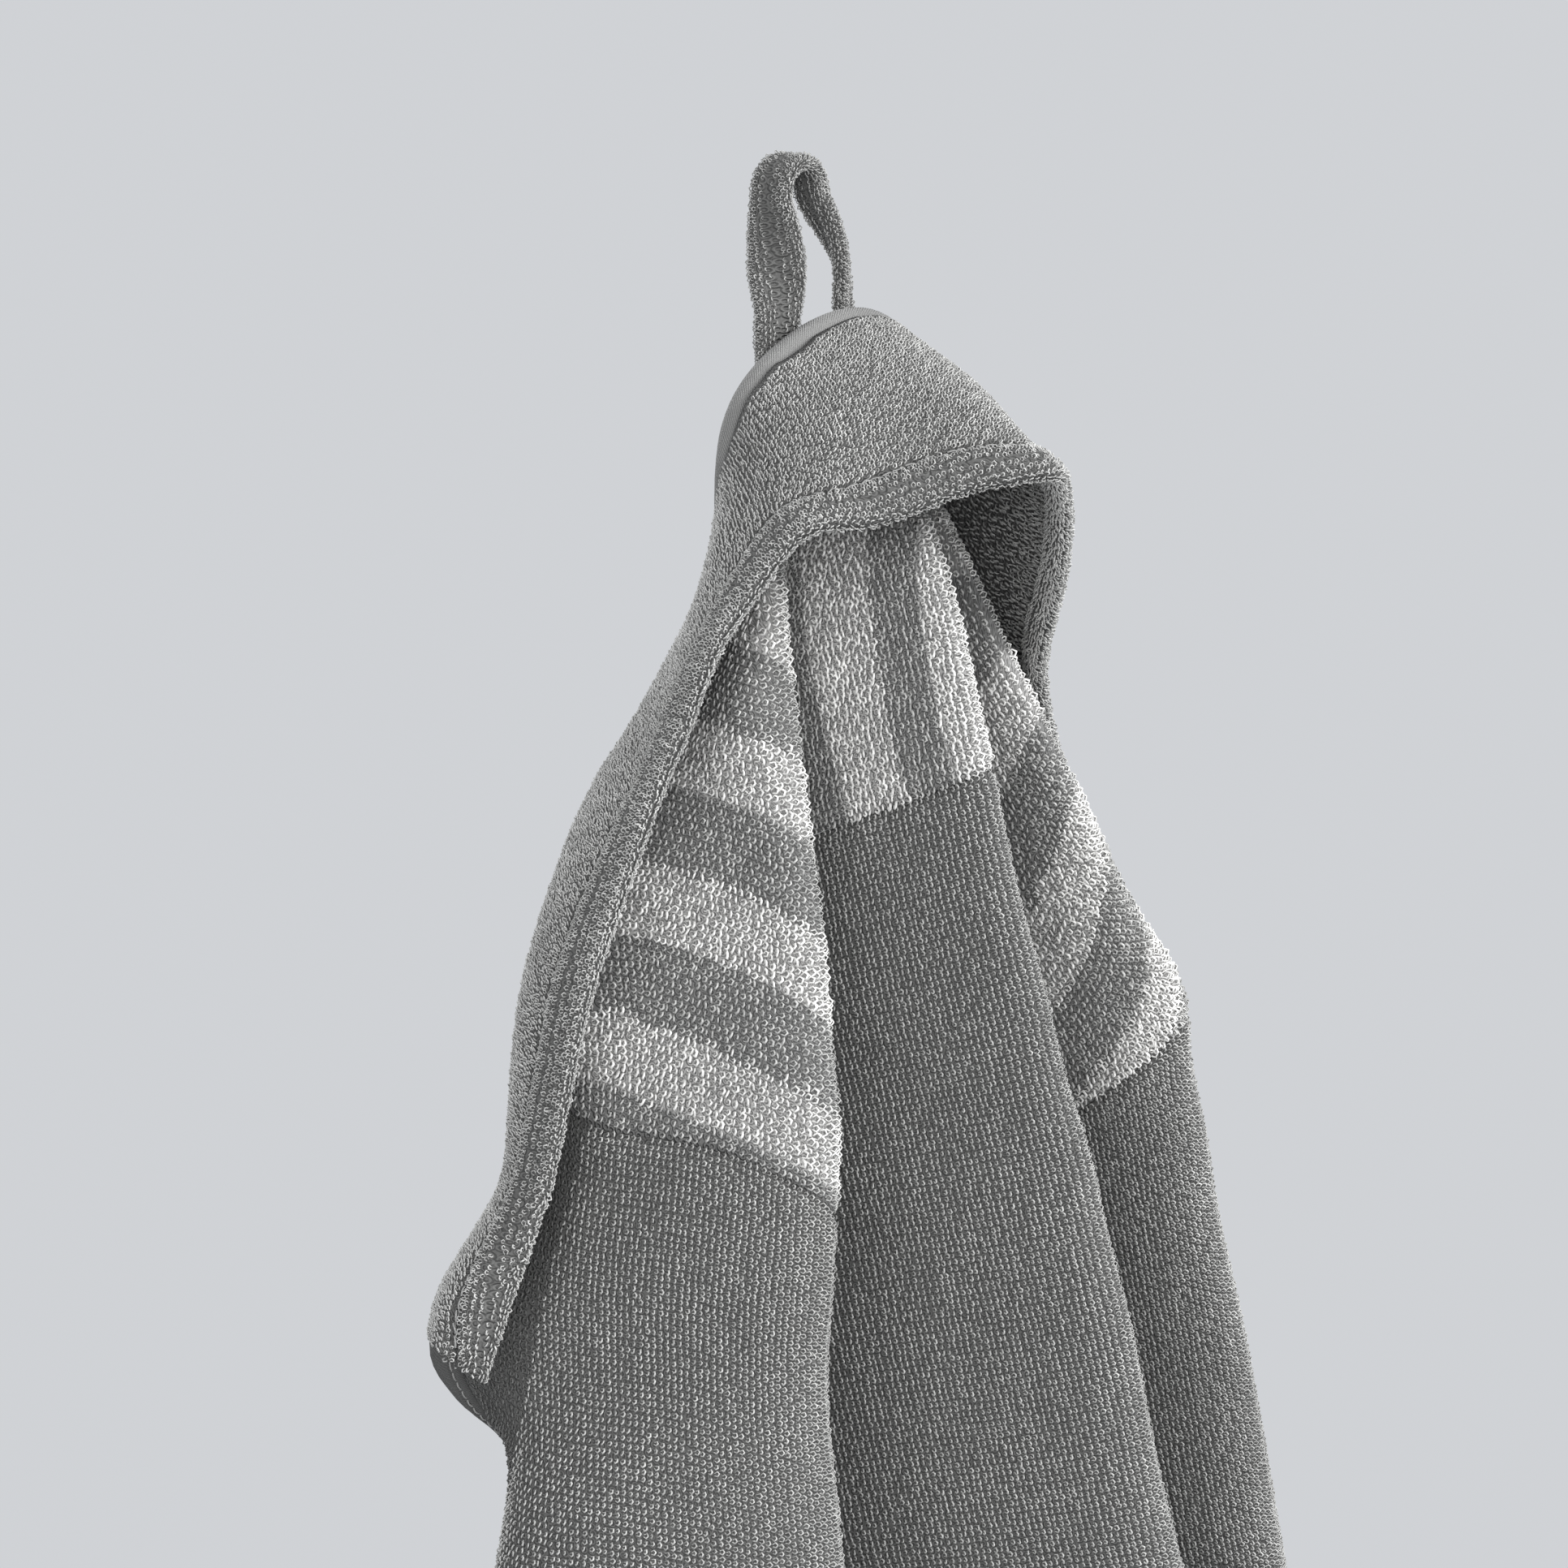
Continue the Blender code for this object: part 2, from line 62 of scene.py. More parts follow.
# ------------------------------------------------------------------ towel body
# A square of cotton terry hung by one corner, so it falls in three standing folds.
# Nine rails down the folds carry the cloth; the three striped yokes and the plain
# panel are cut from that one surface and meet in narrow sunk seams.
VALLEYS = (-0.336, 0.417)        # columns of the two valleys between the folds
RAIL_AT = np.array([-1.0, -0.90, -0.62, VALLEYS[0], 0.054, VALLEYS[1], 0.685, 0.915, 1.0])
RAILS = [  # millimetres: height, across the wall, out from the wall
    [  # left edge
        (-41, -19, -12), (-60, -24.5, -11), (-77, -25, -8), (-93, -27, -5), (-112, -39, -4),
        (-131, -59, -4), (-162, -77, -4), (-187, -85, -4), (-210, -89, -4), (-224, -93, -1),
        (-232, -99, 1), (-240, -104.5, 1.5), (-248.5, -108, 1.5), (-257, -105.5, 1.5),
        (-265.5, -99.5, 1.2), (-273, -93, 0.8), (-284, -85.5, 0), (-300, -80.5, -2), (-340, -80, -4),
        (-420, -80, -3), (-560, -90, -3), (-700, -104, -4)],
    [  # left border of the left fold
        (-41, -17, -12), (-62, -22, -13), (-89, -31, -15), (-118, -49.5, -17), (-143, -60, -17),
        (-174, -73, -17), (-219, -91, -17), (-293, -115, -17), (-400, -143, -17), (-550, -172, -18),
        (-690, -190, -20), (-1000, -205, -20)],
    [  # crest of the left fold
        (-41, -13, -12.5), (-62, -19, -17), (-89, -30, -23), (-116, -38, -34), (-150, -47, -46.5),
        (-217, -62, -65), (-251, -70, -69), (-290, -77, -78), (-400, -96, -103), (-550, -116, -136),
        (-690, -130, -158), (-1000, -145, -175)],
    [  # valley, left of centre
        (-41, -7, -12), (-62, -11, -13), (-89, -17, -12), (-150, -24, -10), (-217, -32, -9),
        (-290, -40, -9), (-400, -50, -12), (-550, -62, -16), (-690, -72, -18), (-1000, -85, -20)],
    [  # crest of the centre fold
        (-41, 1, -13), (-62, -1, -29), (-75, -3, -43), (-89, -4, -50), (-116, -2, -56),
        (-150, 1, -63.5), (-217, 7, -81), (-290, 14, -97.5), (-400, 24, -122), (-550, 33, -150),
        (-690, 38, -170), (-1000, 36, -182)],
    [  # valley, right of centre
        (-41, 9, -12), (-62, 11, -12.5), (-89, 15, -13), (-116, 20, -12), (-150, 26, -11),
        (-217, 36, -10), (-290, 48, -9), (-400, 62, -12), (-550, 78, -16), (-690, 90, -18),
        (-1000, 100, -20)],
    [  # crest of the right fold
        (-41, 16, -12.5), (-62, 19, -20), (-89, 24, -32.5), (-116, 34, -40.5), (-150, 48, -50),
        (-170, 57, -55), (-186, 63, -62), (-217, 70, -65), (-254, 78, -68), (-290, 86, -70),
        (-400, 101, -86), (-550, 124, -118), (-690, 142, -138), (-1000, 155, -152)],
    [  # right border of the right fold
        (-41, 20, -12), (-62, 25, -13), (-89, 33, -14), (-116, 46, -14), (-150, 69, -13),
        (-217, 97, -13), (-290, 115, -13), (-400, 143, -15), (-550, 170, -17), (-690, 188, -18),
        (-1000, 204, -20)],
    [  # right edge
        (-41, 23, -12), (-57, 29, -11), (-76, 32, -8), (-92, 37, -5), (-110, 49, -4), (-130, 64, -4),
        (-160, 84, -4), (-185, 94, -4), (-210, 102, -4), (-232, 108, -5), (-262, 111, -6),
        (-300, 106, -4), (-420, 92, -3), (-560, 98, -3), (-700, 106, -4)],
]
CROWN = [(-1.0, -52), (-0.9, -47.5), (-0.62, -44.5), (-0.336, -42), (0.054, -39.5), (0.417, -38.2),
         (0.685, -38.6), (0.915, -41.5), (1.0, -45)]
SIDE_SEAM = [(-1.0, -196), (-0.9, -201), (-0.76, -204), (-0.62, -216), (-0.336, -238), (0.054, -240),
             (0.417, -248), (0.685, -198), (0.915, -190), (1.0, -186)]
MID_SEAM = [(-0.336, -158), (-0.15, -141), (0.054, -129), (0.25, -136), (0.417, -145)]
BOTTOM = [(0.0, -998), (0.098, -925), (0.276, -828), (0.415, -778), (0.54, -747), (0.68, -727),
          (0.93, -712), (1.0, -692)]
# upper border of the lowest pale stripe and the stripe repeat, along the cloth's columns
STRIPE_TOP = [(-1.0, -176), (-0.9, -177), (-0.76, -184), (-0.61, -195), (-0.336, -212), (0.417, -258),
              (0.5, -240), (0.567, -214), (0.641, -186), (0.705, -171.5), (0.8, -168), (1.0, -164)]
REPEAT = [(-1.0, 31), (-0.9, 31), (-0.61, 35.5), (-0.336, 36), (0.417, 50), (0.567, 47), (0.641, 38),
          (0.705, 31.5), (1.0, 31)]
BASE_HALF = 0.8                  # half the woven ground under the pile
UNDER_PILE = 0.12                # painted shade on the ground under modelled pile, from fully shaded (0) to full colour (1)
# each fold: from, to, crest
FOLDS = ((-1.0, VALLEYS[0], -0.62), (*VALLEYS, 0.054), (VALLEYS[1], 1.0, 0.685))


def curve(keys, points, at):
    """Smooth curve through points given at rising keys."""
    keys = np.asarray(keys, float)
    pts = np.asarray(points, float)
    flat = pts.reshape(len(keys), -1)
    slope = np.gradient(flat, keys, axis=0)
    at = np.clip(np.asarray(at, float), keys[0], keys[-1])
    i = np.clip(np.searchsorted(keys, at) - 1, 0, len(keys) - 2)
    h = (keys[i + 1] - keys[i])[..., None]
    u = ((at - keys[i]) / (keys[i + 1] - keys[i]))[..., None]
    a, b, c, d = flat[i], slope[i] * h, flat[i + 1], slope[i + 1] * h
    out = (a * (2 * u**3 - 3 * u**2 + 1) + b * (u**3 - 2 * u**2 + u)
           + c * (-2 * u**3 + 3 * u**2) + d * (u**3 - u**2))
    return out.reshape(np.shape(at) + pts.shape[1:])


def table(rows, t):
    rows = np.array(rows, float)
    return curve(rows[:, 0], rows[:, 1], t)


def unit(v):
    return v / np.maximum(np.linalg.norm(v, axis=-1, keepdims=True), 1e-9)


def body(t, z):
    """Middle of the cloth at column t and height z."""
    t, z = np.broadcast_arrays(np.asarray(t, float), np.asarray(z, float))
    rails = [np.array(rail, float)[::-1] for rail in RAILS]
    ctrl = np.stack([curve(r[:, 0], r[:, 1:], z) for r in rails], 0)
    slope = np.gradient(ctrl, RAIL_AT, axis=0)
    i = np.clip(np.searchsorted(RAIL_AT, t) - 1, 0, len(RAIL_AT) - 2)
    h = (RAIL_AT[i + 1] - RAIL_AT[i])[..., None]
    u = ((t - RAIL_AT[i]) / (RAIL_AT[i + 1] - RAIL_AT[i]))[..., None]

    def pick(a, k):
        return np.take_along_axis(a, k[None, ..., None], 0)[0]
    p = (pick(ctrl, i) * (2 * u**3 - 3 * u**2 + 1) + pick(slope, i) * h * (u**3 - 2 * u**2 + u)
         + pick(ctrl, i + 1) * (-2 * u**3 + 3 * u**2) + pick(slope, i + 1) * h * (u**3 - u**2))
    return np.concatenate([p, z[..., None]], -1)


def body_normals(t, z):
    return unit(np.cross(body(t + 0.004, z) - body(t - 0.004, z), body(t, z + 0.6) - body(t, z - 0.6)))


def seam_height(t, z):
    """Height of a point over the seam that crosses its fold."""
    side, mid = z - table(SIDE_SEAM, t), z - table(MID_SEAM, t)
    return np.where((t > VALLEYS[0]) & (t < VALLEYS[1]), mid, side)


def relief(t, z):
    """Slack in the hanging cloth, and the sunk seam with its slightly raised lips."""
    d = seam_height(t, z)
    slack = (0.55 * np.sin(z / 21 + 5 * t) * np.sin(z / 57 - 9 * t)
             + 0.3 * np.sin(z / 8.7 + 23 * t + 2 * np.sin(z / 33)))
    lower = np.clip((-z - 300) / 300, 0, 1)
    slack = slack + lower * 1.6 * np.sin(z / 71 + 7 * t) * np.sin(13 * t + z / 190)
    seam = (-0.75 * np.exp(-(d / 1.2) ** 2) + 0.45 * np.exp(-((d - 4.2) / 3) ** 2)
            + 0.35 * np.exp(-((d + 4) / 3) ** 2))
    return (slack * np.clip((1 - t**2) * 6, 0, 1) + seam)[..., None]


def cloth_point(t, z):
    n = body_normals(t, z)
    return body(t, z) + n * relief(t, z), n


def stripe_band(t, z):
    """Distance inside (+) or outside (-) the nearest pale stripe."""
    n = (z - table(STRIPE_TOP, t)) / table(REPEAT, t)
    side = (0.25 - np.abs(n - np.floor(n) - 0.75)) * 33
    starts = np.clip(-0.274 - (z + 79) / 58 * 0.099, -0.334, -0.16)
    across = arc_at(t, z) - arc_at(starts, z)
    stripes = ((8.2, 8.2), (36.8, 8.2), (66, 8.0), (-24, 8.0))       # middle and half width
    mid = np.max([half - np.abs(across - c) for c, half in stripes], axis=0)
    return np.where((t > VALLEYS[0]) & (t < VALLEYS[1]), mid, side)


Z_TABLE = np.linspace(-1000, -36, 260)
T_TABLE = np.linspace(-1, 1, 481)
steps = np.linalg.norm(np.diff(body(T_TABLE[None], Z_TABLE[:, None]), axis=1), axis=-1)
ARC_TABLE = np.concatenate([np.zeros((len(Z_TABLE), 1)), np.cumsum(steps, 1)], 1)


def arc_at(t, z):
    """Cloth length from the left edge to column t, at height z."""
    i = np.clip((np.asarray(z) - Z_TABLE[0]) / (Z_TABLE[1] - Z_TABLE[0]), 0, len(Z_TABLE) - 1.001)
    j = np.clip((np.asarray(t) + 1) * 240, 0, 479.999)
    a, b = i.astype(int), j.astype(int)
    i, j = i - a, j - b
    return (ARC_TABLE[a, b] * (1 - i) * (1 - j) + ARC_TABLE[a + 1, b] * i * (1 - j)
            + ARC_TABLE[a, b + 1] * (1 - i) * j + ARC_TABLE[a + 1, b + 1] * i * j)


class Socket:
    """One socket of a node tree; Python arithmetic on it adds Math nodes."""

    def __init__(self, net, socket):
        self.net, self.socket = net, socket

    def also(self, name):
        return Socket(self.net, self.socket.node.outputs[name])

    def _math(self, kind, *values):
        return self.net.add("ShaderNodeMath", {"operation": kind}, *values)

    def __add__(self, other): return self._math("ADD", self, other)
    def __sub__(self, other): return self._math("SUBTRACT", self, other)
    def __mul__(self, other): return self._math("MULTIPLY", self, other)
    def __truediv__(self, other): return self._math("DIVIDE", self, other)
    def __radd__(self, other): return self._math("ADD", other, self)
    def __rsub__(self, other): return self._math("SUBTRACT", other, self)
    def __rmul__(self, other): return self._math("MULTIPLY", other, self)
    def __abs__(self): return self._math("ABSOLUTE", self)


class Net:
    """A node tree under construction."""

    def __init__(self, tree):
        self.tree = tree
        tree.nodes.clear()

    def plug(self, socket, value):
        if isinstance(value, Socket):
            self.tree.links.new(value.socket, socket)
        elif value is not None:
            socket.default_value = value

    def add(self, kind, settings=None, *values, **named):
        node = self.tree.nodes.new(kind)
        for key, value in (settings or {}).items():
            setattr(node, key, value)
        for socket, value in zip(node.inputs, values):
            self.plug(socket, value)
        for key, value in named.items():
            self.plug(node.inputs[key.replace("_", " ")], value)
        return Socket(self, node.outputs[0]) if len(node.outputs) else node

    def sine(self, value):
        return self.add("ShaderNodeMath", {"operation": "SINE"}, value)

    def between(self, value, low, high):
        """0 below low, 1 above high, smooth between."""
        smooth = {"interpolation_type": "SMOOTHSTEP"}
        return self.add("ShaderNodeMapRange", smooth, value, low, high, 0.0, 1.0)

    def noise(self, place, scale, detail):
        solid_noise = {"noise_dimensions": "3D"}
        return self.add("ShaderNodeTexNoise", solid_noise, Vector=place, Scale=scale, Detail=detail)

    def attribute(self, name):
        """A number stored on the points of a piece."""
        return self.add("ShaderNodeAttribute", {"attribute_name": name}).also("Fac")

    def named(self, name):
        """A direction stored on the root points of a pile or a row of stitches."""
        return self.add("GeometryNodeInputNamedAttribute", {"data_type": "FLOAT_VECTOR"}, Name=name)

    def upright(self, out, along):
        """Rotation that stands a piece up along one direction and faces it along another."""
        stand = self.add("FunctionNodeAlignRotationToVector", {"axis": "Z"}, Vector=out)
        facing = {"axis": "Y", "pivot_axis": "Z"}
        return self.add("FunctionNodeAlignRotationToVector", facing, Rotation=stand, Vector=along)

    def circle(self, sides, radius):
        return self.add("GeometryNodeCurvePrimitiveCircle", None, Resolution=sides, Radius=radius)

    def blend(self, factor, a, b):
        """Mix of two colours."""
        node = self.tree.nodes.new("ShaderNodeMix")
        node.data_type, node.blend_type = "RGBA", "MIX"
        for at, value in ((0, factor), (6, a), (7, b)):
            self.plug(node.inputs[at], value)
        return Socket(self, node.outputs[2])

    def scaled(self, vector, factor):
        """A colour times a number."""
        node = self.tree.nodes.new("ShaderNodeVectorMath")
        node.operation = "SCALE"
        self.plug(node.inputs[0], vector if isinstance(vector, Socket) else vector[:3])
        self.plug(node.inputs[3], factor)
        return Socket(self, node.outputs[0])


def surface(name, colour_and_height, rough=0.95, sheen=0.05, bump=0.0006):
    """Principled material; the function gives colour and height sockets for its net."""
    mat = bpy.data.materials.new(name)
    mat.use_nodes = True
    net = Net(mat.node_tree)
    colour, height = colour_and_height(net)
    normal = net.add("ShaderNodeBump", None, Strength=1.0, Distance=bump, Height=height)
    shader = net.add("ShaderNodeBsdfPrincipled", None, Base_Color=colour, Roughness=rough, Normal=normal)
    node = shader.socket.node
    node.inputs["Sheen Weight"].default_value = sheen
    node.inputs["Sheen Roughness"].default_value = 0.6
    node.inputs["Specular IOR Level"].default_value = 0.25
    net.add("ShaderNodeOutputMaterial", None, Surface=shader)
    return mat


GREY = (0.42, 0.42, 0.41, 1)           # plain ground
PALE = (0.62, 0.615, 0.605, 1)         # ground of the pale stripes
DEEP = (0.33, 0.33, 0.325, 1)          # ground of the darker stripes
TERRY_PITCH = 0.00165                  # metres between rows of loops


def terry_ground(striped):
    """Woven ground with its rows of loops painted on, light loop tops with painted shade between them, and a
    deeper painted shade where modelled pile stands on it.
    """
    def make(net):
        flat = net.add("ShaderNodeUVMap", {"uv_map": "flat"})
        place = net.add("ShaderNodeTexCoord").also("Object")
        cell = net.add("ShaderNodeTexVoronoi", {"voronoi_dimensions": "2D", "feature": "F1"},
                       Vector=flat, Scale=1 / TERRY_PITCH, Randomness=0.55)
        ring = abs(cell - 0.36) * 2.4
        loop = 1 - net.between(ring, 0.1, 0.62)
        fuzz = net.noise(place, 900.0, 2.0)
        wear = net.noise(place, 38.0, 3.0)
        shown = net.attribute("bare")
        ground, under_pile_shade = GREY, 0.22
        if striped:
            ragged = net.attribute("band") + (fuzz - 0.5) * 1.2
            ground, under_pile_shade = net.blend(net.between(ragged, -0.5, 0.5), DEEP, PALE), 0.5
        # painted shade: the hollows between the painted loops darker than the loop tops
        shade = (0.27 + 0.39 * loop) * (0.86 + 0.28 * wear) * (0.8 + 0.4 * fuzz)
        lit = net.scaled(ground, shade)
        # painted shade of the ground deep in among the modelled pile
        sunk = net.scaled(ground, under_pile_shade * (0.8 + 0.4 * fuzz))
        colour = net.blend(shown, sunk, lit)
        return colour, loop * 0.9 + fuzz * 0.35
    return make


plain_ground = surface("terry ground, plain", terry_ground(striped=False), bump=0.0009)
striped_ground = surface("terry ground, striped", terry_ground(striped=True), bump=0.0009)
hood_ground = surface("terry ground, hood", terry_ground(striped=False), bump=0.0009)


SEAT_Y = -2.0                    # the middle of the loop on its peg, which is the frame's origin


def solid(name, points, faces, mat, uv=None, corner_uv=None, marks=None):
    """Mesh object from millimetre points; uv in millimetres too, marks are numbers per point."""
    me = bpy.data.meshes.new(name)
    metres = (np.asarray(points, float) - (0, SEAT_Y, 0)) * 0.001
    me.from_pydata(metres.tolist(), [], [tuple(map(int, f)) for f in faces])
    if uv is not None or corner_uv is not None:
        layer = me.uv_layers.new(name="flat")
        if corner_uv is None:
            corner = np.zeros(len(me.loops), int)
            me.loops.foreach_get("vertex_index", corner)
            corner_uv = np.asarray(uv)[corner]
        layer.data.foreach_set("uv", (np.asarray(corner_uv) * 0.001).astype(np.float32).ravel())
    for key, values in (marks or {}).items():
        values = np.asarray(values, np.float32)
        kind = "FLOAT_VECTOR" if values.ndim == 2 else "FLOAT"
        attr = me.attributes.new(key, kind, "POINT")
        attr.data.foreach_set("vector" if values.ndim == 2 else "value", values.ravel())
    me.update()
    me.shade_smooth()
    obj = bpy.data.objects.new(name, me)
    bpy.context.scene.collection.objects.link(obj)
    if mat:
        me.materials.append(mat)
    return obj


def thick_cloth(name, t, z, quads, mat, marks):
    """Closed cloth from a patch of (t, z) points: front, back and a wall along its free edges."""
    p, n = cloth_point(t, z)
    bend = np.linalg.norm(body(t + 0.006, z) - body(t - 0.006, z), axis=-1)
    turn = np.linalg.norm(body_normals(t + 0.006, z) - body_normals(t - 0.006, z), axis=-1)
    half = np.clip(0.65 * bend / np.maximum(turn, 1e-6), 0.4, BASE_HALF)[:, None]
    count = len(t)
    faces = list(map(tuple, quads)) + [tuple(v + count for v in q[::-1]) for q in quads]
    middle = list(t[quads].mean(1)) * 2
    seen = {(a, b) for q in quads for a, b in zip(q, np.roll(q, -1))}
    for q, mid in zip(quads, t[quads].mean(1)):
        for a, b in zip(q, np.roll(q, -1)):
            if (b, a) not in seen:
                faces.append((b, a, a + count, b + count))
                middle.append(mid)
    corners = np.array(faces) % count
    tt, zz = t[corners], z[corners]
    fold = np.array(FOLDS)[np.searchsorted(VALLEYS, middle)]
    start, end, crest = (np.broadcast_to(fold[:, [i]], tt.shape) for i in range(3))
    inside = np.clip(tt, start + 1e-4, end - 1e-4)
    uv = np.stack([arc_at(tt, zz) - arc_at(crest, zz), seam_height(inside, zz) * 1.07], -1)
    both = {key: np.concatenate([v, v]) for key, v in marks.items()}
    both["bare"] = np.concatenate([marks["bare"], np.ones(count)])      # no modelled pile on the inside
    faces_of_cloth = np.concatenate([p + n * half, p - n * half])
    return solid(name, faces_of_cloth, faces, mat, corner_uv=uv.reshape(-1, 2), marks=both)


def grid_quads(rows, n, base=0):
    r, c = np.meshgrid(np.arange(rows - 1), np.arange(n - 1), indexing="ij")
    a = base + (r * n + c).ravel()
    return np.stack([a, a + n, a + n + 1, a + 1], -1)


def columns(a, b, n):
    """Columns from rail a to rail b, closer together on the crests and in the valleys."""
    u = (1 - np.cos(np.pi * np.arange(n) / n)) / 2
    t = [RAIL_AT[i] + (RAIL_AT[i + 1] - RAIL_AT[i]) * u for i in range(a, b)]
    return np.concatenate(t + [RAIL_AT[b:b + 1]])


def pulled(t, z, side):
    """A column moved into its panel by half the gap between panels."""
    step = np.linalg.norm(body(t + 0.01, z) - body(t - 0.01, z), axis=-1) / 0.02
    return t + side * 0.2 / np.maximum(step, 20.0)


yokes = {}
YOKES = (("yoke_left", 0, 3, SIDE_SEAM), ("yoke_center", 3, 5, MID_SEAM), ("yoke_right", 5, 8, SIDE_SEAM))
for name, a, b, seam in YOKES:               # between which rails, and the seam below
    t = columns(a, b, 16)[None]
    w = np.linspace(0, 1, 72)[:, None]
    z = table(CROWN, t) * (1 - w) + (table(seam, t) + 0.02) * w
    t = np.broadcast_to(t, z.shape).copy()
    if a:
        t[:, 0] = pulled(t[:, 0], z[:, 0], 1)
    if b < 8:
        t[:, -1] = pulled(t[:, -1], z[:, -1], -1)
    inside = np.clip(t, RAIL_AT[a] + 1e-4, RAIL_AT[b] - 1e-4)
    band = stripe_band(inside, z).ravel()
    marks = {"band": band, "bare": np.full(len(band), 0.15)}
    quads = grid_quads(*t.shape)
    yokes[name] = thick_cloth(name + "_cloth", t.ravel(), z.ravel(), quads, striped_ground, marks)

PILE_END = (-330.0, -362.0)      # the modelled pile thins out between these heights
PER_RAIL, ROWS, ROWS_UP = 14, 210, 44        # the plain panel's grid, and the part above the side seams


def bottom(t):
    """Height of the bottom edge, with its corner a little rounded."""
    return table(BOTTOM, np.sqrt(t**2 + 0.0009) - 0.03)


t_all = columns(0, 8, PER_RAIL)
n_all = len(t_all)
w = (np.linspace(0, 1, ROWS) ** 1.35)[:, None]
z_low = (table(SIDE_SEAM, t_all) - 0.02)[None] * (1 - w) + bottom(t_all)[None] * w
t_low = np.broadcast_to(t_all, z_low.shape)
c0, c1 = 3 * PER_RAIL, 5 * PER_RAIL
t_mid = t_all[c0:c1 + 1]
up = np.linspace(0, 1, ROWS_UP + 1)[:-1, None]
z_up = (table(MID_SEAM, t_mid) - 0.02)[None] * (1 - up) + z_low[:1, c0:c1 + 1] * up
t_up = np.broadcast_to(t_mid, z_up.shape).copy()
t_up[:, 0] = pulled(t_up[:, 0], z_up[:, 0], 1)
t_up[:, -1] = pulled(t_up[:, -1], z_up[:, -1], -1)
t_main = np.concatenate([t_low.ravel(), t_up.ravel()])
z_main = np.concatenate([z_low.ravel(), z_up.ravel()])
last = ROWS * n_all + (ROWS_UP - 1) * len(t_mid)
c = np.arange(len(t_mid) - 1)
join = np.stack([last + c, c0 + c, c0 + c + 1, last + c + 1], -1)
quads = np.concatenate([grid_quads(ROWS, n_all), grid_quads(ROWS_UP, len(t_mid), ROWS * n_all), join])
# painted shade: where the modelled pile thins out the ground's painted shade lifts only part way, standing in
# for the shade of the pile
bare = np.clip((PILE_END[0] - z_main) / (PILE_END[0] - PILE_END[1]), 0, 1)
marks = {"bare": UNDER_PILE + 0.38 * bare}
main = thick_cloth("main_panel_cloth", t_main, z_main, quads, plain_ground, marks)

# ------------------------------------------------------------------ pile of the body
# Every loop is one turn of soft cotton yarn standing out of the ground and flopped
# over, in rows across and columns down the cloth; pale yarn loops stand taller.


def yarn(net, streaked):
    """Tone of the yarn, which varies from loop to loop and in streaks down the cloth, and its twist."""
    place = net.add("ShaderNodeTexCoord").also("Object")
    speck = net.noise(place, 650.0, 1.0)
    drift = net.noise(place, 38.0, 3.0)
    twist = net.noise(place, 5200.0, 1.0)
    tall = net.add("ShaderNodeMapping", {"vector_type": "POINT"}, place, None, None, (1.0, 1.0, 0.13))
    streak = net.noise(tall, 330.0, 1.0)
    lively = 0.76 + 0.42 * net.between(speck, 0.3, 0.7)
    column = 1.0 + 0.55 * streaked * (streak - 0.5)
    return lively * column * (0.8 + 0.4 * drift), twist


def yarn_material(name, dark, light, streaked):
    def make(net):
        tone, twist = yarn(net, streaked)
        if light is None:
            return net.scaled(dark, tone), twist
        band = net.attribute("band")
        colour = net.blend(net.between(band, -0.3, 0.3), (*dark, 1), (*light, 1))
        return net.scaled(colour, tone), twist
    return surface(name, make, bump=0.00008)


striped_yarn = yarn_material("terry yarn, striped", (0.46, 0.46, 0.45), (0.76, 0.755, 0.74), 1.0)
plain_yarn = yarn_material("terry yarn, plain", (0.44, 0.44, 0.43), None, 1.0)
hood_yarn = yarn_material("terry yarn, hood", (0.48, 0.48, 0.47), None, 0.0)
# the hood's own terry, its yarn painted darker on the inside as painted shade under the hood
hood_inside_shaded_yarn = yarn_material("terry yarn, hood inside, painted shade", (0.37, 0.37, 0.362), None, 0.0)
strap_yarn = yarn_material("terry yarn, loop", (0.37, 0.37, 0.362), None, 0.0)
# painted shadow: yarn painted nearly black for the strip in the shadow behind the hood's end
shaded_yarn = yarn_material("terry yarn, margin, painted shadow", (0.15, 0.15, 0.147), None, 0.0)


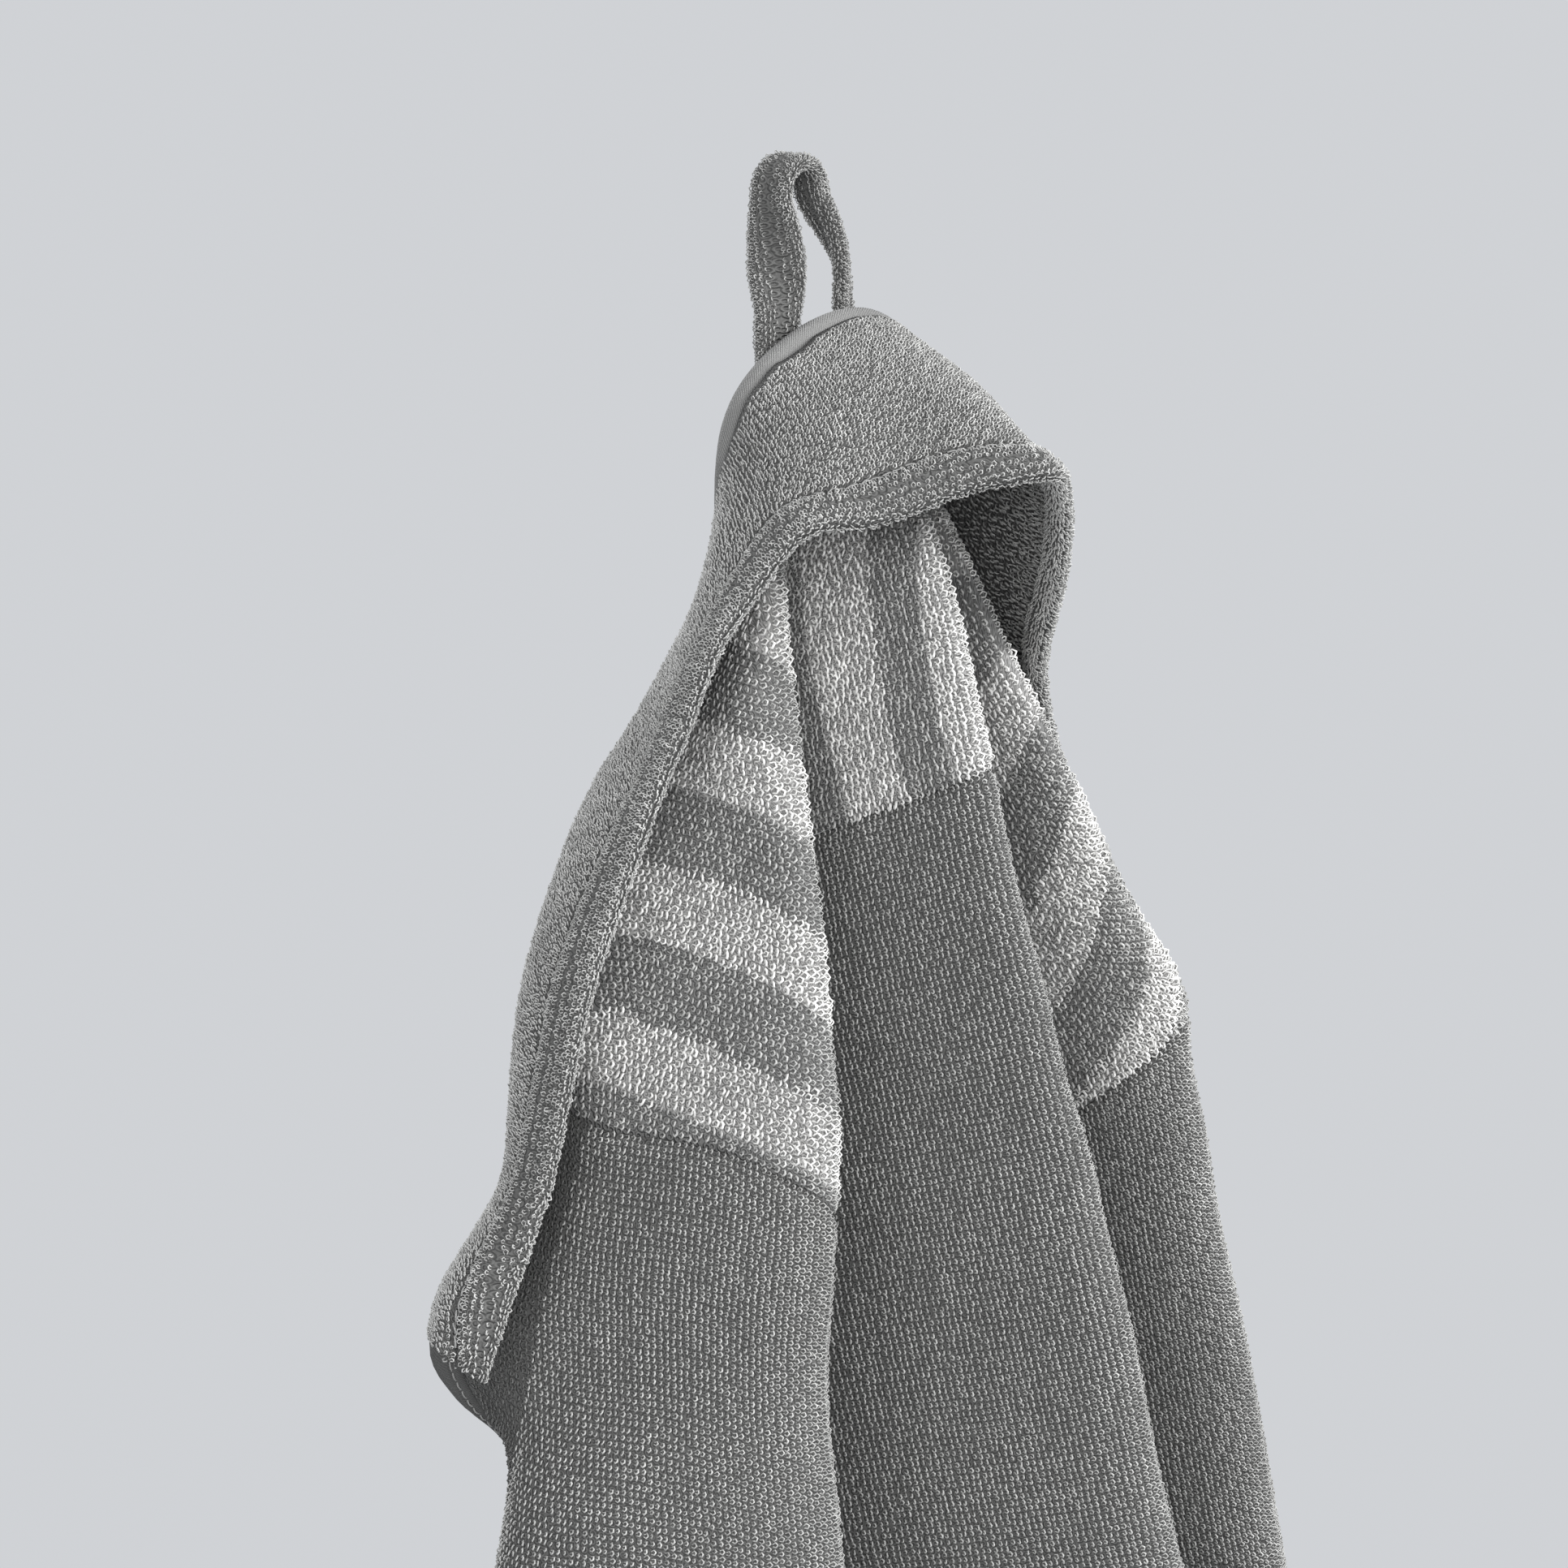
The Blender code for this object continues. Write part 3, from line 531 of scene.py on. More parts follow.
def pile_tree():
    """One open ring of yarn per point, stood on the cloth, leaned along it and turned."""
    tree = bpy.data.node_groups.new("terry pile", "GeometryNodeTree")
    put = tree.interface.new_socket
    put("Geometry", in_out="INPUT", socket_type="NodeSocketGeometry")
    sizes = {"Ring Radius": 0.00048, "Yarn Radius": 0.00018, "Lean": 0.8, "Lean Spread": 0.4, "Turn": 1.57,
             "Turn Spread": 0.5, "Size Spread": 0.2, "Stretch": 1.15}
    for key, value in sizes.items():
        put(key, in_out="INPUT", socket_type="NodeSocketFloat").default_value = value
    put("Segments", in_out="INPUT", socket_type="NodeSocketInt").default_value = 5
    put("Seed", in_out="INPUT", socket_type="NodeSocketInt").default_value = 1
    put("Yarn", in_out="INPUT", socket_type="NodeSocketMaterial")
    put("Geometry", in_out="OUTPUT", socket_type="NodeSocketGeometry")
    net = Net(tree)
    given = net.add("NodeGroupInput")
    radius, seed = given.also("Ring Radius"), given.also("Seed")
    arc = net.add("GeometryNodeCurveArc", {"mode": "RADIUS"}, Resolution=given.also("Segments"),
                  Radius=radius, Start_Angle=math.radians(-62), Sweep_Angle=math.radians(304))
    shape = net.add("ShaderNodeCombineXYZ", None, 1.0, given.also("Stretch"), 1.0)
    lift = net.add("ShaderNodeCombineXYZ", None, 0.0, 0.0, radius * given.also("Stretch") * 0.8)
    ring = net.add("GeometryNodeTransform", None, Geometry=arc, Scale=shape)
    on_edge = (math.pi / 2, 0, 0)
    ring = net.add("GeometryNodeTransform", None, Geometry=ring, Translation=lift, Rotation=on_edge)
    section = net.circle(3, given.also("Yarn Radius"))
    loop = net.add("GeometryNodeCurveToMesh", None, Curve=ring, Profile_Curve=section)
    loop = net.add("GeometryNodeSetShadeSmooth", None, Geometry=loop)

    def random(low, high, step):
        """A number of its own for each loop."""
        node = tree.nodes.new("FunctionNodeRandomValue")
        node.data_type = "FLOAT"
        net.plug(node.inputs[2], low)
        net.plug(node.inputs[3], high)
        net.plug(node.inputs["Seed"], seed + step)
        return Socket(net, node.outputs[1])

    stand = net.upright(net.named("out"), net.named("down"))
    lean, lean_by = given.also("Lean"), given.also("Lean Spread")
    turn, turn_by = given.also("Turn"), given.also("Turn Spread")
    leaned = 0.0 - random(lean - lean_by, lean + lean_by, 1)
    turned = random(turn - turn_by, turn + turn_by, 2)
    tip = net.add("ShaderNodeCombineXYZ", None, leaned, 0.0, turned)
    tip = net.add("FunctionNodeEulerToRotation", None, tip)
    stand = net.add("FunctionNodeRotateRotation", {"rotation_space": "LOCAL"}, stand, tip)
    big = given.also("Size Spread")
    own = net.add("GeometryNodeInputNamedAttribute", {"data_type": "FLOAT"}, Name="size")
    size = random(1.0 - big, 1.0 + big, 3) * own
    many = net.add("GeometryNodeInstanceOnPoints", None, Points=given.also("Geometry"), Instance=loop,
                   Rotation=stand, Scale=size)
    real = net.add("GeometryNodeRealizeInstances", None, Geometry=many)
    done = net.add("GeometryNodeSetMaterial", None, Geometry=real, Material=given.also("Yarn"))
    net.add("NodeGroupOutput", None, done)
    return tree


PILE = pile_tree()


def grown(name, tree, seed_mesh, body_name, **inputs):
    """Run a tree on a seed mesh and keep the result as one plain mesh riding on a body."""
    mod = seed_mesh.modifiers.new("grow", "NODES")
    mod.node_group = tree
    ids = {s.name: s.identifier for s in tree.interface.items_tree if s.in_out == "INPUT"}
    for key, value in inputs.items():
        mod[ids[key.replace("_", " ")]] = value
    bpy.context.view_layer.update()
    ready = seed_mesh.evaluated_get(bpy.context.evaluated_depsgraph_get())
    me = bpy.data.meshes.new_from_object(ready)
    bpy.data.objects.remove(seed_mesh, do_unlink=True)
    for key in ("out", "down", "size"):
        if key in me.attributes:
            me.attributes.remove(me.attributes[key])
    me.name = name
    obj = bpy.data.objects.new(name, me)
    bpy.context.scene.collection.objects.link(obj)
    if body_name:
        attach(obj, body_name)
    return obj


MOST_LOOPS = 8200                # a pile with more is split into several pieces


def rooted(name, points, out, down, size, band=None):
    """Root points of a pile, each with the directions that its loop stands and lies along."""
    marks = {"out": out, "down": down, "size": np.broadcast_to(size, (len(points),))}
    if band is not None:
        marks["band"] = band
    return solid(name + "_roots", points, [], None, marks=marks)


chance = np.random.default_rng(11)


def rows_on_body(fold, heights, pitch, edge=0.7):
    """Loop roots along rows: heights(t) lists one height curve per row; returns t and z."""
    t0, t1, crest = FOLDS[fold]
    t = np.linspace(t0, t1, 260)
    found_t, found_z = [], []
    for z in heights(t):
        p = body(t, z)
        arc = np.concatenate([[0], np.cumsum(np.linalg.norm(np.diff(p, axis=0), axis=1))])
        anchor = np.interp(crest, t, arc)
        first = math.ceil((edge - anchor) / pitch)
        at = anchor + pitch * np.arange(first, math.floor((arc[-1] - edge - anchor) / pitch) + 1)
        at = at + chance.normal(0, 0.05 * pitch, len(at))
        at = at[(at > edge) & (at < arc[-1] - edge)]
        tt = np.interp(at, arc, t)
        found_t.append(tt)
        found_z.append(np.interp(tt, t, z) + chance.normal(0, 0.04 * pitch, len(tt)))
    return np.concatenate(found_t), np.concatenate(found_z)


def body_pile(name, t, z, size, band, seed, mat, **look):
    """Pile on the front of the body at the given columns and heights."""
    p, n = cloth_point(t, z)
    below = unit(cloth_point(t, z - 0.8)[0] - p)
    roots = rooted(name, p + n * (BASE_HALF - 0.15), n, below, size, band)
    return grown(name, PILE, roots, "towel", Seed=seed, Yarn=mat, **look)


for k, (name, a, b, seam) in enumerate(YOKES):
    if k == 1:
        def heights(t):
            return [table(seam, t) + 0.7 + 1.5 * r for r in range(75)]
    else:
        def heights(t):
            return [table(STRIPE_TOP, t) + table(REPEAT, t) * r / 19.5 for r in range(-42, 110)]
    t, z = rows_on_body(k, heights, 1.62)
    inside = np.clip(t, FOLDS[k][0] + 1e-4, FOLDS[k][1] - 1e-4)
    keep = (z > table(seam, t) + 0.5) & (z < table(CROWN, t) - 0.8)
    t, z, inside = t[keep], z[keep], inside[keep]
    band = stripe_band(inside, z) + chance.normal(0, 0.25, len(t))
    size = np.where(band > 0, 1.2, 1.05)
    body_pile(name + "_pile", t, z, size, band, 20 + k, striped_yarn,
                            Ring_Radius=0.00062, Yarn_Radius=0.00024, Lean=0.75, Turn_Spread=0.4)

for k, (part, seam) in enumerate((("left", SIDE_SEAM), ("center", MID_SEAM), ("right", SIDE_SEAM))):
    # finer on the left side of each fold, coarser and with fewer facets right of its crest
    for seen, pitch in ((True, 1.5), (False, 2.0)):
        def heights(t):
            return [table(seam, t) - 0.55 - 0.96 * pitch * r for r in range(int(300 / pitch))]
        t, z = rows_on_body(k, heights, pitch)
        turned = t > FOLDS[k][2] + 0.05
        fade = np.clip((z - PILE_END[1]) / (PILE_END[0] - PILE_END[1]), 0, 1)
        keep = (chance.random(len(t)) < fade**0.7) & (z < table(seam, t) - 0.4) & (turned != seen)
        t, z, fade = t[keep], z[keep], fade[keep]
        if k == 0 and seen:          # the strip behind the hood's end: smaller loops of yarn painted nearly black, a painted shadow under the hood's end
            margin = (t < -0.915) & (z > -350)
            name = "main_left_pile_margin"
            body_pile(name, t[margin], z[margin], 1.0, None, 99, shaded_yarn,
                                    Turn_Spread=0.35, Lean_Spread=0.28)
            t, z, fade = t[~margin], z[~margin], fade[~margin]
        order = np.argsort(z)[::-1]
        for part_no, chosen in enumerate(np.array_split(order, math.ceil(len(order) / MOST_LOOPS))):
            name = f"main_{part}_pile_{'front' if seen else 'turned'}_{part_no + 1}"
            size = (0.7 + 0.3 * fade[chosen]) * pitch / 1.34
            body_pile(name, t[chosen], z[chosen], size, None, 40 + 20 * k + part_no + 10 * seen,
                                    plain_yarn, Segments=5 if seen else 4, Turn_Spread=0.35,
                                    Lean_Spread=0.28, Size_Spread=0.14)

for key, obj in yokes.items():
    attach(obj, "towel")
    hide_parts(key)
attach(main, "towel")
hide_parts("main_panel")

# ------------------------------------------------------------------ hood
# A round-cornered triangle of the same terry, sewn into the edge binding at the
# corner and hanging open over the yokes; its free edge is turned back and stitched
# down as a soft hem about eleven millimetres wide.
HOOD = [  # on the bound edge, half way, free edge; left end to right end
    ((-110, 0.5, -243), (-134, -16, -240), (-123.5, -18, -249)),
    ((-100, 0, -229), (-127, -14, -229), (-120, -24, -231)),
    ((-93, -4, -212), (-109.5, -14, -211), (-112, -27, -210)),
    ((-89, -4, -187), (-102.5, -13, -187.5), (-106, -29, -185)),
    ((-81, -4, -161), (-97, -12.5, -164), (-100, -31, -162)),
    ((-63, -4, -131), (-78, -11, -135), (-87, -32, -136)),
    ((-42, -4, -112), (-60, -11.5, -115), (-74.5, -33.5, -115)),
    ((-30, -5, -93), (-50.5, -15, -97), (-67, -35.5, -96.5)),
    ((-28, -8, -77), (-46, -20, -81), (-57, -39, -84.5)),
    ((-28, -11, -59), (-40, -28, -66), (-46, -45, -72)),
    ((-22, -12, -41), (-30, -34, -55), (-33, -55.5, -69.5)),
    ((-14, -11, -37), (-16, -41, -48), (-17, -66, -64)),
    ((0, -11, -35), (-2, -45, -43.5), (-4, -79, -61)),
    ((12, -11, -35), (11, -45, -46), (3, -77, -65)),
    ((23, -12, -38), (26, -41, -56), (13, -70, -73.5)),
    ((31, -11, -57), (38, -34, -72), (25, -60, -87)),
    ((35, -8, -76), (47, -26, -89), (37, -49, -98.5)),
    ((40, -5, -92), (55, -20, -104), (46, -38, -111)),
    ((52, -4, -110), (65, -15, -120), (54, -31, -122.5)),
    ((67, -4, -130), (77, -13, -139), (66, -27, -143)),
    ((87, -4, -160), (94, -13, -166), (84, -25, -167)),
    ((97, -4, -185), (106, -13, -188), (97, -23, -190)),
    ((105, -4, -210), (115, -13, -212), (109, -22, -213)),
    ((111, -5, -232), (118, -12, -234), (113, -18, -235)),
    ((115, -7, -250), (117, -11.5, -251), (113, -14, -254)),
]
BIND_R, GAP, HEM_WIDTH = 3.4, 0.6, 11.0       # half the tape, gap to the cloth, width of the hem
STATIONS = 57                                 # along the hood, left end to right end

# the edge of the cloth, once round, with the direction out of it
COARSE = {key: columns(a, b, 6) for key, a, b in (("left", 0, 3), ("mid", 3, 5), ("right", 5, 8), ("all", 0, 8))}
COARSE["all"][np.argmin(np.abs(COARSE["all"]))] = 0.0


def patch(t, top, low, rows, power=1.0):
    """Coarse grid of the cloth between two heights given along the columns."""
    w = (np.linspace(0, 1, rows) ** power)[:, None]
    z = top[None] * (1 - w) + low[None] * w
    return body(np.broadcast_to(t, z.shape), z)


SEAM_HALF = 0.55                              # half the gap across a seam


def yoke_patch(key, seam, rows):
    t = COARSE[key].copy()
    t[np.abs(t) < 0.02] = 0.0
    return patch(t, table(CROWN, t), table(seam, t) + SEAM_HALF, rows)


def round_the_edge(i):
    """The grids' points once round the towel: i is 0 for the edge itself and 1 for the row inside it."""
    end, j = -1 - i, i
    return np.concatenate([left[i, :-1], mid[i, :-1], right[i], right[1:-1, end], low[:, end],
                           low[end, -2::-1], low[-2::-1, j], left[-2:0:-1, j]])


left, mid = yoke_patch("left", SIDE_SEAM, 20), yoke_patch("mid", MID_SEAM, 19)
right = yoke_patch("right", SIDE_SEAM, 26)
low = patch(COARSE["all"], table(SIDE_SEAM, COARSE["all"]) - SEAM_HALF, bottom(COARSE["all"]), 34, 1.45)
edge, inner = round_the_edge(0), round_the_edge(1)
ahead = unit(np.roll(edge, -1, 0) - edge)
behind = np.roll(ahead, 1, 0)
bead_t, away = unit(ahead + behind), unit(edge - inner)


def square_to(v, run):
    return unit(v - run * np.sum(v * run, -1, keepdims=True))


out_a, out_b = square_to(away, ahead), square_to(away, behind)
bead_u = unit(out_a + out_b)
sharp = (np.sum(ahead * behind, -1) < 0.75) & (np.abs(np.sum(unit(ahead - behind) * away, -1)) > 0.6)
bead_u[sharp] = unit(behind - ahead)[sharp]
bead_u = square_to(bead_u, bead_t)
flat = np.minimum(np.sum(bead_u * out_a, -1), np.sum(bead_u * out_b, -1))[:, None]
bead_c = edge + bead_u * (BIND_R + GAP - 0.05) / np.clip(flat, 0.6, 1.0)

stations = np.array(HOOD, float)
stations = curve(np.linspace(0, STATIONS - 1, len(stations)), stations, np.arange(STATIONS, dtype=float))
seg_a, seg_b = bead_c, np.roll(bead_c, -1, 0)
for s in stations:
    along = seg_b - seg_a
    u = np.clip(np.sum((s[0] - seg_a) * along, -1) / np.sum(along**2, -1), 0, 1)[:, None]
    feet = seg_a + along * u
    k = int(np.argmin(np.linalg.norm(feet - s[0], axis=1)))
    d = unit(s[1] - feet[k]) + bead_u[k] * 0.6
    d -= bead_t[k] * np.dot(d, bead_t[k])
    s[0] = feet[k] + unit(d) * (BIND_R + GAP - 0.6)
keys = np.arange(STATIONS, dtype=float)


def hood_at(s, k):
    """Hood surface: s from the bound edge (0) to the free edge (1), k along it."""
    b, m, h = (curve(keys, stations[:, i], k) for i in range(3))
    s = np.asarray(s, float)[..., None]
    return b * (1 - s) * (1 - 2 * s) + m * 4 * s * (1 - s) + h * s * (2 * s - 1)


def hood_normal(s, k):
    a, b = np.clip(s - 0.01, 0, 1), np.clip(s + 0.01, 0, 1)
    before, after = np.clip(k - 0.2, 0, STATIONS - 1), np.clip(k + 0.2, 0, STATIONS - 1)
    return -unit(np.cross(hood_at(s, after) - hood_at(s, before), hood_at(b, k) - hood_at(a, k)))


FINE = 281                                    # stations of the visible hood
K_FINE = np.linspace(0, STATIONS - 1, FINE)
S_FINE = np.linspace(0, 1, 41)
probe = hood_at(S_FINE[:, None], np.broadcast_to(K_FINE, (len(S_FINE), FINE)))
S_ARC = np.concatenate([np.zeros((1, FINE)), np.cumsum(np.linalg.norm(np.diff(probe, axis=0), axis=-1), 0)])
LENGTH = S_ARC[-1]                            # from the bound edge to the free edge, at each station
HEM_FROM = np.maximum(LENGTH - HEM_WIDTH, 0.22 * LENGTH)


def s_for(distance, k):
    """Parameter s at a distance from the bound edge, for each k."""
    col = np.clip(np.round(np.asarray(k) / (STATIONS - 1) * (FINE - 1)).astype(int), 0, FINE - 1)
    d, col = np.broadcast_arrays(distance, col)
    out = np.empty(d.shape)
    for j in np.unique(col):
        m = col == j
        out[m] = np.interp(d[m], S_ARC[:, j], S_FINE)
    return out


def hood_point(distance, k):
    """Middle of the hood's cloth with its slack, and the direction out of it."""
    s = s_for(distance, k)
    n = hood_normal(s, k)
    slack = 0.5 * np.sin(np.asarray(k) * 0.9 + distance / 9) * np.sin(distance / 13 + 1)
    slack = slack * np.clip(distance / 8, 0, 1)
    return hood_at(s, k) + n * slack[..., None], n


f = np.linspace(0, 1, 34)[:, None]
dist = f * (HEM_FROM - 0.2)[None]
kk = np.broadcast_to(K_FINE, dist.shape)
p, n = hood_point(dist, kk)
sink = (0.8 * np.exp(-((HEM_FROM[None] - dist) / 1.6) ** 2))[..., None]
width = np.concatenate([[0], np.cumsum(np.linalg.norm(np.diff(p[17], axis=0), axis=1))])
front = (p + n * (BASE_HALF - sink)).reshape(-1, 3)
back = (p - n * (BASE_HALF - sink * 0.6)).reshape(-1, 3)
quads = grid_quads(*dist.shape)
count = len(front)
faces = [tuple(q) for q in quads] + [tuple(v + count for v in q[::-1]) for q in quads]
seen = {(a, b) for q in quads for a, b in zip(q, np.roll(q, -1))}
faces += [(b, a, a + count, b + count) for a, b in seen if (b, a) not in seen]
uv = np.stack([np.broadcast_to(width, dist.shape), dist], -1).reshape(-1, 2)
hood = solid("hood_panel_cloth", np.concatenate([front, back]), faces, hood_ground,
             uv=np.concatenate([uv, uv]), marks={"bare": np.full(2 * count, UNDER_PILE)})
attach(hood, "towel")
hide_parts("hood_panel")


def rows_on_hood(first, last, pitch):
    """Loop roots between two distances from the bound edge, given at each fine station."""
    found_d, found_k = [], []
    top = float(np.max(last))
    for row in range(int(top / pitch) + 1):
        d = 0.8 + row * pitch
        p = hood_at(s_for(np.full(FINE, d), K_FINE), K_FINE)
        arc = np.concatenate([[0], np.cumsum(np.linalg.norm(np.diff(p, axis=0), axis=1))])
        at = (np.arange(int(arc[-1] / pitch)) + 0.5 * (row % 2)) * pitch
        at = at + chance.normal(0, 0.08 * pitch, len(at))
        k = np.interp(at, arc, K_FINE)
        dd = d + chance.normal(0, 0.07 * pitch, len(k))
        ok = (dd > np.interp(k, K_FINE, first)) & (dd < np.interp(k, K_FINE, last))
        found_d.append(dd[ok])
        found_k.append(k[ok])
    return np.concatenate(found_d), np.concatenate(found_k)


for side, name, pitch in ((1, "hood_outer_pile", 1.18), (-1, "hood_inner_pile", 1.6)):
    d, k = rows_on_hood(np.full(FINE, 1.2), HEM_FROM - 0.7, pitch)
    order = np.argsort(k)
    for part_no, chosen in enumerate(np.array_split(order, math.ceil(len(order) / MOST_LOOPS))):
        p, n = hood_point(d[chosen], k[chosen])
        further = unit(hood_point(d[chosen] + 0.8, k[chosen])[0] - p)
        part = f"{name}_{part_no + 1}"
        roots = rooted(part, p + n * side * (BASE_HALF - 0.15), n * side, further, pitch / 1.24)
        grown(part, PILE, roots, "towel", Seed=60 + side + 5 * part_no,
                                Yarn=hood_yarn if side > 0 else hood_inside_shaded_yarn,
                                Lean_Spread=0.3, Turn_Spread=0.8, Size_Spread=0.14)

HEM_H, HEM_SIDES = 2.1, 40                    # half its thickness, and its facets round
ring = np.linspace(0, math.tau, HEM_SIDES, endpoint=False)


def hem_at(angle, k):
    """Surface of the turned-back hem: angle 0 at the free edge, a quarter turn at the outer face."""
    lo, hi = np.interp(k, K_FINE, HEM_FROM + 0.3), np.interp(k, K_FINE, LENGTH)
    c, s = np.cos(angle), np.sin(angle)
    wide, high = np.sign(c) * np.abs(c) ** 0.75, np.sign(s) * np.abs(s) ** 0.75
    puff = 1 + 0.08 * np.sin(np.asarray(k) * 5.3) * np.sin(np.asarray(k) * 1.7)
    d = (lo + hi) / 2 + 0.35 + (hi - lo) / 2 * wide
    over = np.maximum(d - hi, 0)
    q, m = hood_point(np.minimum(d, hi), k)
    e = unit(q - hood_point(np.minimum(d, hi) - 0.8, k)[0])
    return q + e * over[..., None] + m * (high * HEM_H * puff)[..., None]


def tube_quads(rings, sides, closed=False):
    """Faces between rings of points; a closed tube's last ring meets its first."""
    quads = []
    for i in range(rings if closed else rings - 1):
        a, b = i * sides, (i + 1) % rings * sides
        quads += [(a + j, a + (j + 1) % sides, b + (j + 1) % sides, b + j) for j in range(sides)]
    return quads


def tube_ends(rings, sides):
    return [tuple(range(sides))[::-1], tuple((rings - 1) * sides + j for j in range(sides))]


p = hem_at(ring[:, None], np.broadcast_to(K_FINE, (HEM_SIDES, FINE))).transpose(1, 0, 2)
faces = tube_quads(FINE, HEM_SIDES) + tube_ends(FINE, HEM_SIDES)
uv = np.stack(np.broadcast_arrays(ring[None, :] * 4.6, width[:, None]), -1).reshape(-1, 2)
hem = solid("hood_hem_cloth", p.reshape(-1, 3), faces, hood_ground, uv=uv,
            marks={"bare": np.full(FINE * HEM_SIDES, UNDER_PILE)})
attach(hem, "towel")
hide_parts("hood_hem")


def ring_rows(surface_at, along, arc, around_length, pitch):
    """Loop roots round and along a tube; returns angle and place along it."""
    found_a, found_k = [], []
    count = int(around_length / pitch)
    for j in range(count):
        at = (np.arange(int(arc[-1] / pitch)) + 0.5 * (j % 2)) * pitch + pitch * 0.3
        at = at + chance.normal(0, 0.08 * pitch, len(at))
        found_k.append(np.interp(at, arc, along))
        found_a.append(np.full(len(at), j * math.tau / count) + chance.normal(0, 0.03, len(at)))
    return np.concatenate(found_a), np.concatenate(found_k)


a, k = ring_rows(hem_at, K_FINE, width, 27.0, 1.24)
p = hem_at(a, k)
du, dk = hem_at(a + 0.05, k) - hem_at(a - 0.05, k), hem_at(a, k + 0.05) - hem_at(a, k - 0.05)
n = unit(np.cross(dk, du))
core = (hem_at(a, k) + hem_at(a + math.pi, k)) / 2
n *= np.sign(np.sum(n * (p - core), -1, keepdims=True))
keep = np.cos(a) > -0.93
roots = rooted("hood_hem_pile", (p - n * 0.15)[keep], n[keep], unit(dk)[keep], 0.98)
hem_pile = grown("hood_hem_pile", PILE, roots, "towel", Seed=71, Yarn=hood_yarn, Lean_Spread=0.3,
                 Turn_Spread=0.8, Size_Spread=0.14)

# ------------------------------------------------------------------ edge binding
# A narrow twill tape folded over the raw edge and stitched through with one row of
# small stitches near its inner border.
order = np.arange(len(bead_c) + 1) % len(bead_c)
length = np.concatenate([[0], np.cumsum(np.linalg.norm(np.diff(bead_c[order], axis=0), axis=1))])
BIND_RINGS, BIND_SIDES = 1100, 24
at = np.linspace(0, length[-1], BIND_RINGS, endpoint=False)
centre = curve(length, bead_c[order], at)
outward = curve(length, bead_u[order], at)
near = np.clip((centre[:, 2:] + 95) / 25, 0, 1)      # only round the corner at the crown
for _ in range(16):
    even = (np.roll(centre, 1, 0) + np.roll(centre, -1, 0) + centre) / 3
    centre = centre + (even - centre) * near
    outward = outward + ((np.roll(outward, 1, 0) + np.roll(outward, -1, 0) + outward) / 3 - outward) * near
run = unit(np.roll(centre, -1, 0) - np.roll(centre, 1, 0))
outward = square_to(outward, run)
proud = np.clip((centre[:, 2:] + 80) / 38, 0, 1)
proud = proud * proud * (3 - 2 * proud)              # the tape stands clear of the pile round the crown
centre = centre + outward * 1.15 * proud
cross = np.cross(run, outward)
turn = np.arange(BIND_SIDES) * math.tau / BIND_SIDES
c, s = np.cos(turn), np.sin(turn)
profile = np.stack([np.sign(c) * np.abs(c) ** 0.8 * 3.45 - 0.1, np.sign(s) * np.abs(s) ** 0.8 * 2.5], -1)
profile[:, 1] *= 1 - 0.18 * np.clip(-c, 0, 1)
dent = np.exp(-((np.abs(c + 0.50)) / 0.13) ** 2)[:, None]
profile *= 1 - 0.24 * dent                           # the stitched-down line on both faces
p = centre[:, None] + outward[:, None] * profile[None, :, :1] + cross[:, None] * profile[None, :, 1:]
FACET = 0.6                                          # millimetres of tape to one facet
uv = []
for here in at:
    for a in range(BIND_SIDES):
        this, other = a * FACET, (a + 1) * FACET
        uv += [(here, this), (here, other), (here + at[1], other), (here + at[1], this)]


def twill(net):
    """Fine slanting ribs along the tape; its point attribute darkens the stretch behind the hood's end with
    painted shade.
    """
    flat = net.add("ShaderNodeUVMap", {"uv_map": "flat"})
    split = net.add("ShaderNodeSeparateXYZ", None, flat)
    x, y = split.also("X"), split.also("Y")
    place = net.add("ShaderNodeTexCoord").also("Object")
    fuzz = net.noise(place, 1500.0, 2.0)
    wear = net.noise(place, 60.0, 2.0)
    rib = net.sine((x * 0.72 + y) * (math.tau / 0.00058)) * 0.5 + 0.5
    thread = net.sine((x - y * 0.3) * (math.tau / 0.00041)) * 0.5 + 0.5
    dim = net.attribute("dim")
    tone = dim * (0.72 + 0.3 * rib) * (0.94 + 0.1 * thread) * (0.85 + 0.3 * fuzz) * (0.9 + 0.2 * wear)
    return net.scaled((0.25, 0.25, 0.246), tone), rib + thread * 0.3 + fuzz * 0.3


tape = surface("binding twill", twill, rough=0.85, sheen=0.1, bump=0.00022)
across, height = centre[:, 0], centre[:, 2]
# painted shade: the tape darkened behind the hood's lower-left end, where the hood shades it
hood_shadow_zone = np.clip((-across - 76) / 10, 0, 1) * np.clip((height + 330) / 30, 0, 1)
dim = 1 - 0.6 * hood_shadow_zone * np.clip((-222 - height) / 12, 0, 1)
binding = solid("edge_binding_tape", p.reshape(-1, 3), tube_quads(BIND_RINGS, BIND_SIDES, closed=True), tape,
                corner_uv=uv, marks={"dim": np.repeat(dim, BIND_SIDES)})
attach(binding, "towel")
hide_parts("edge_binding")


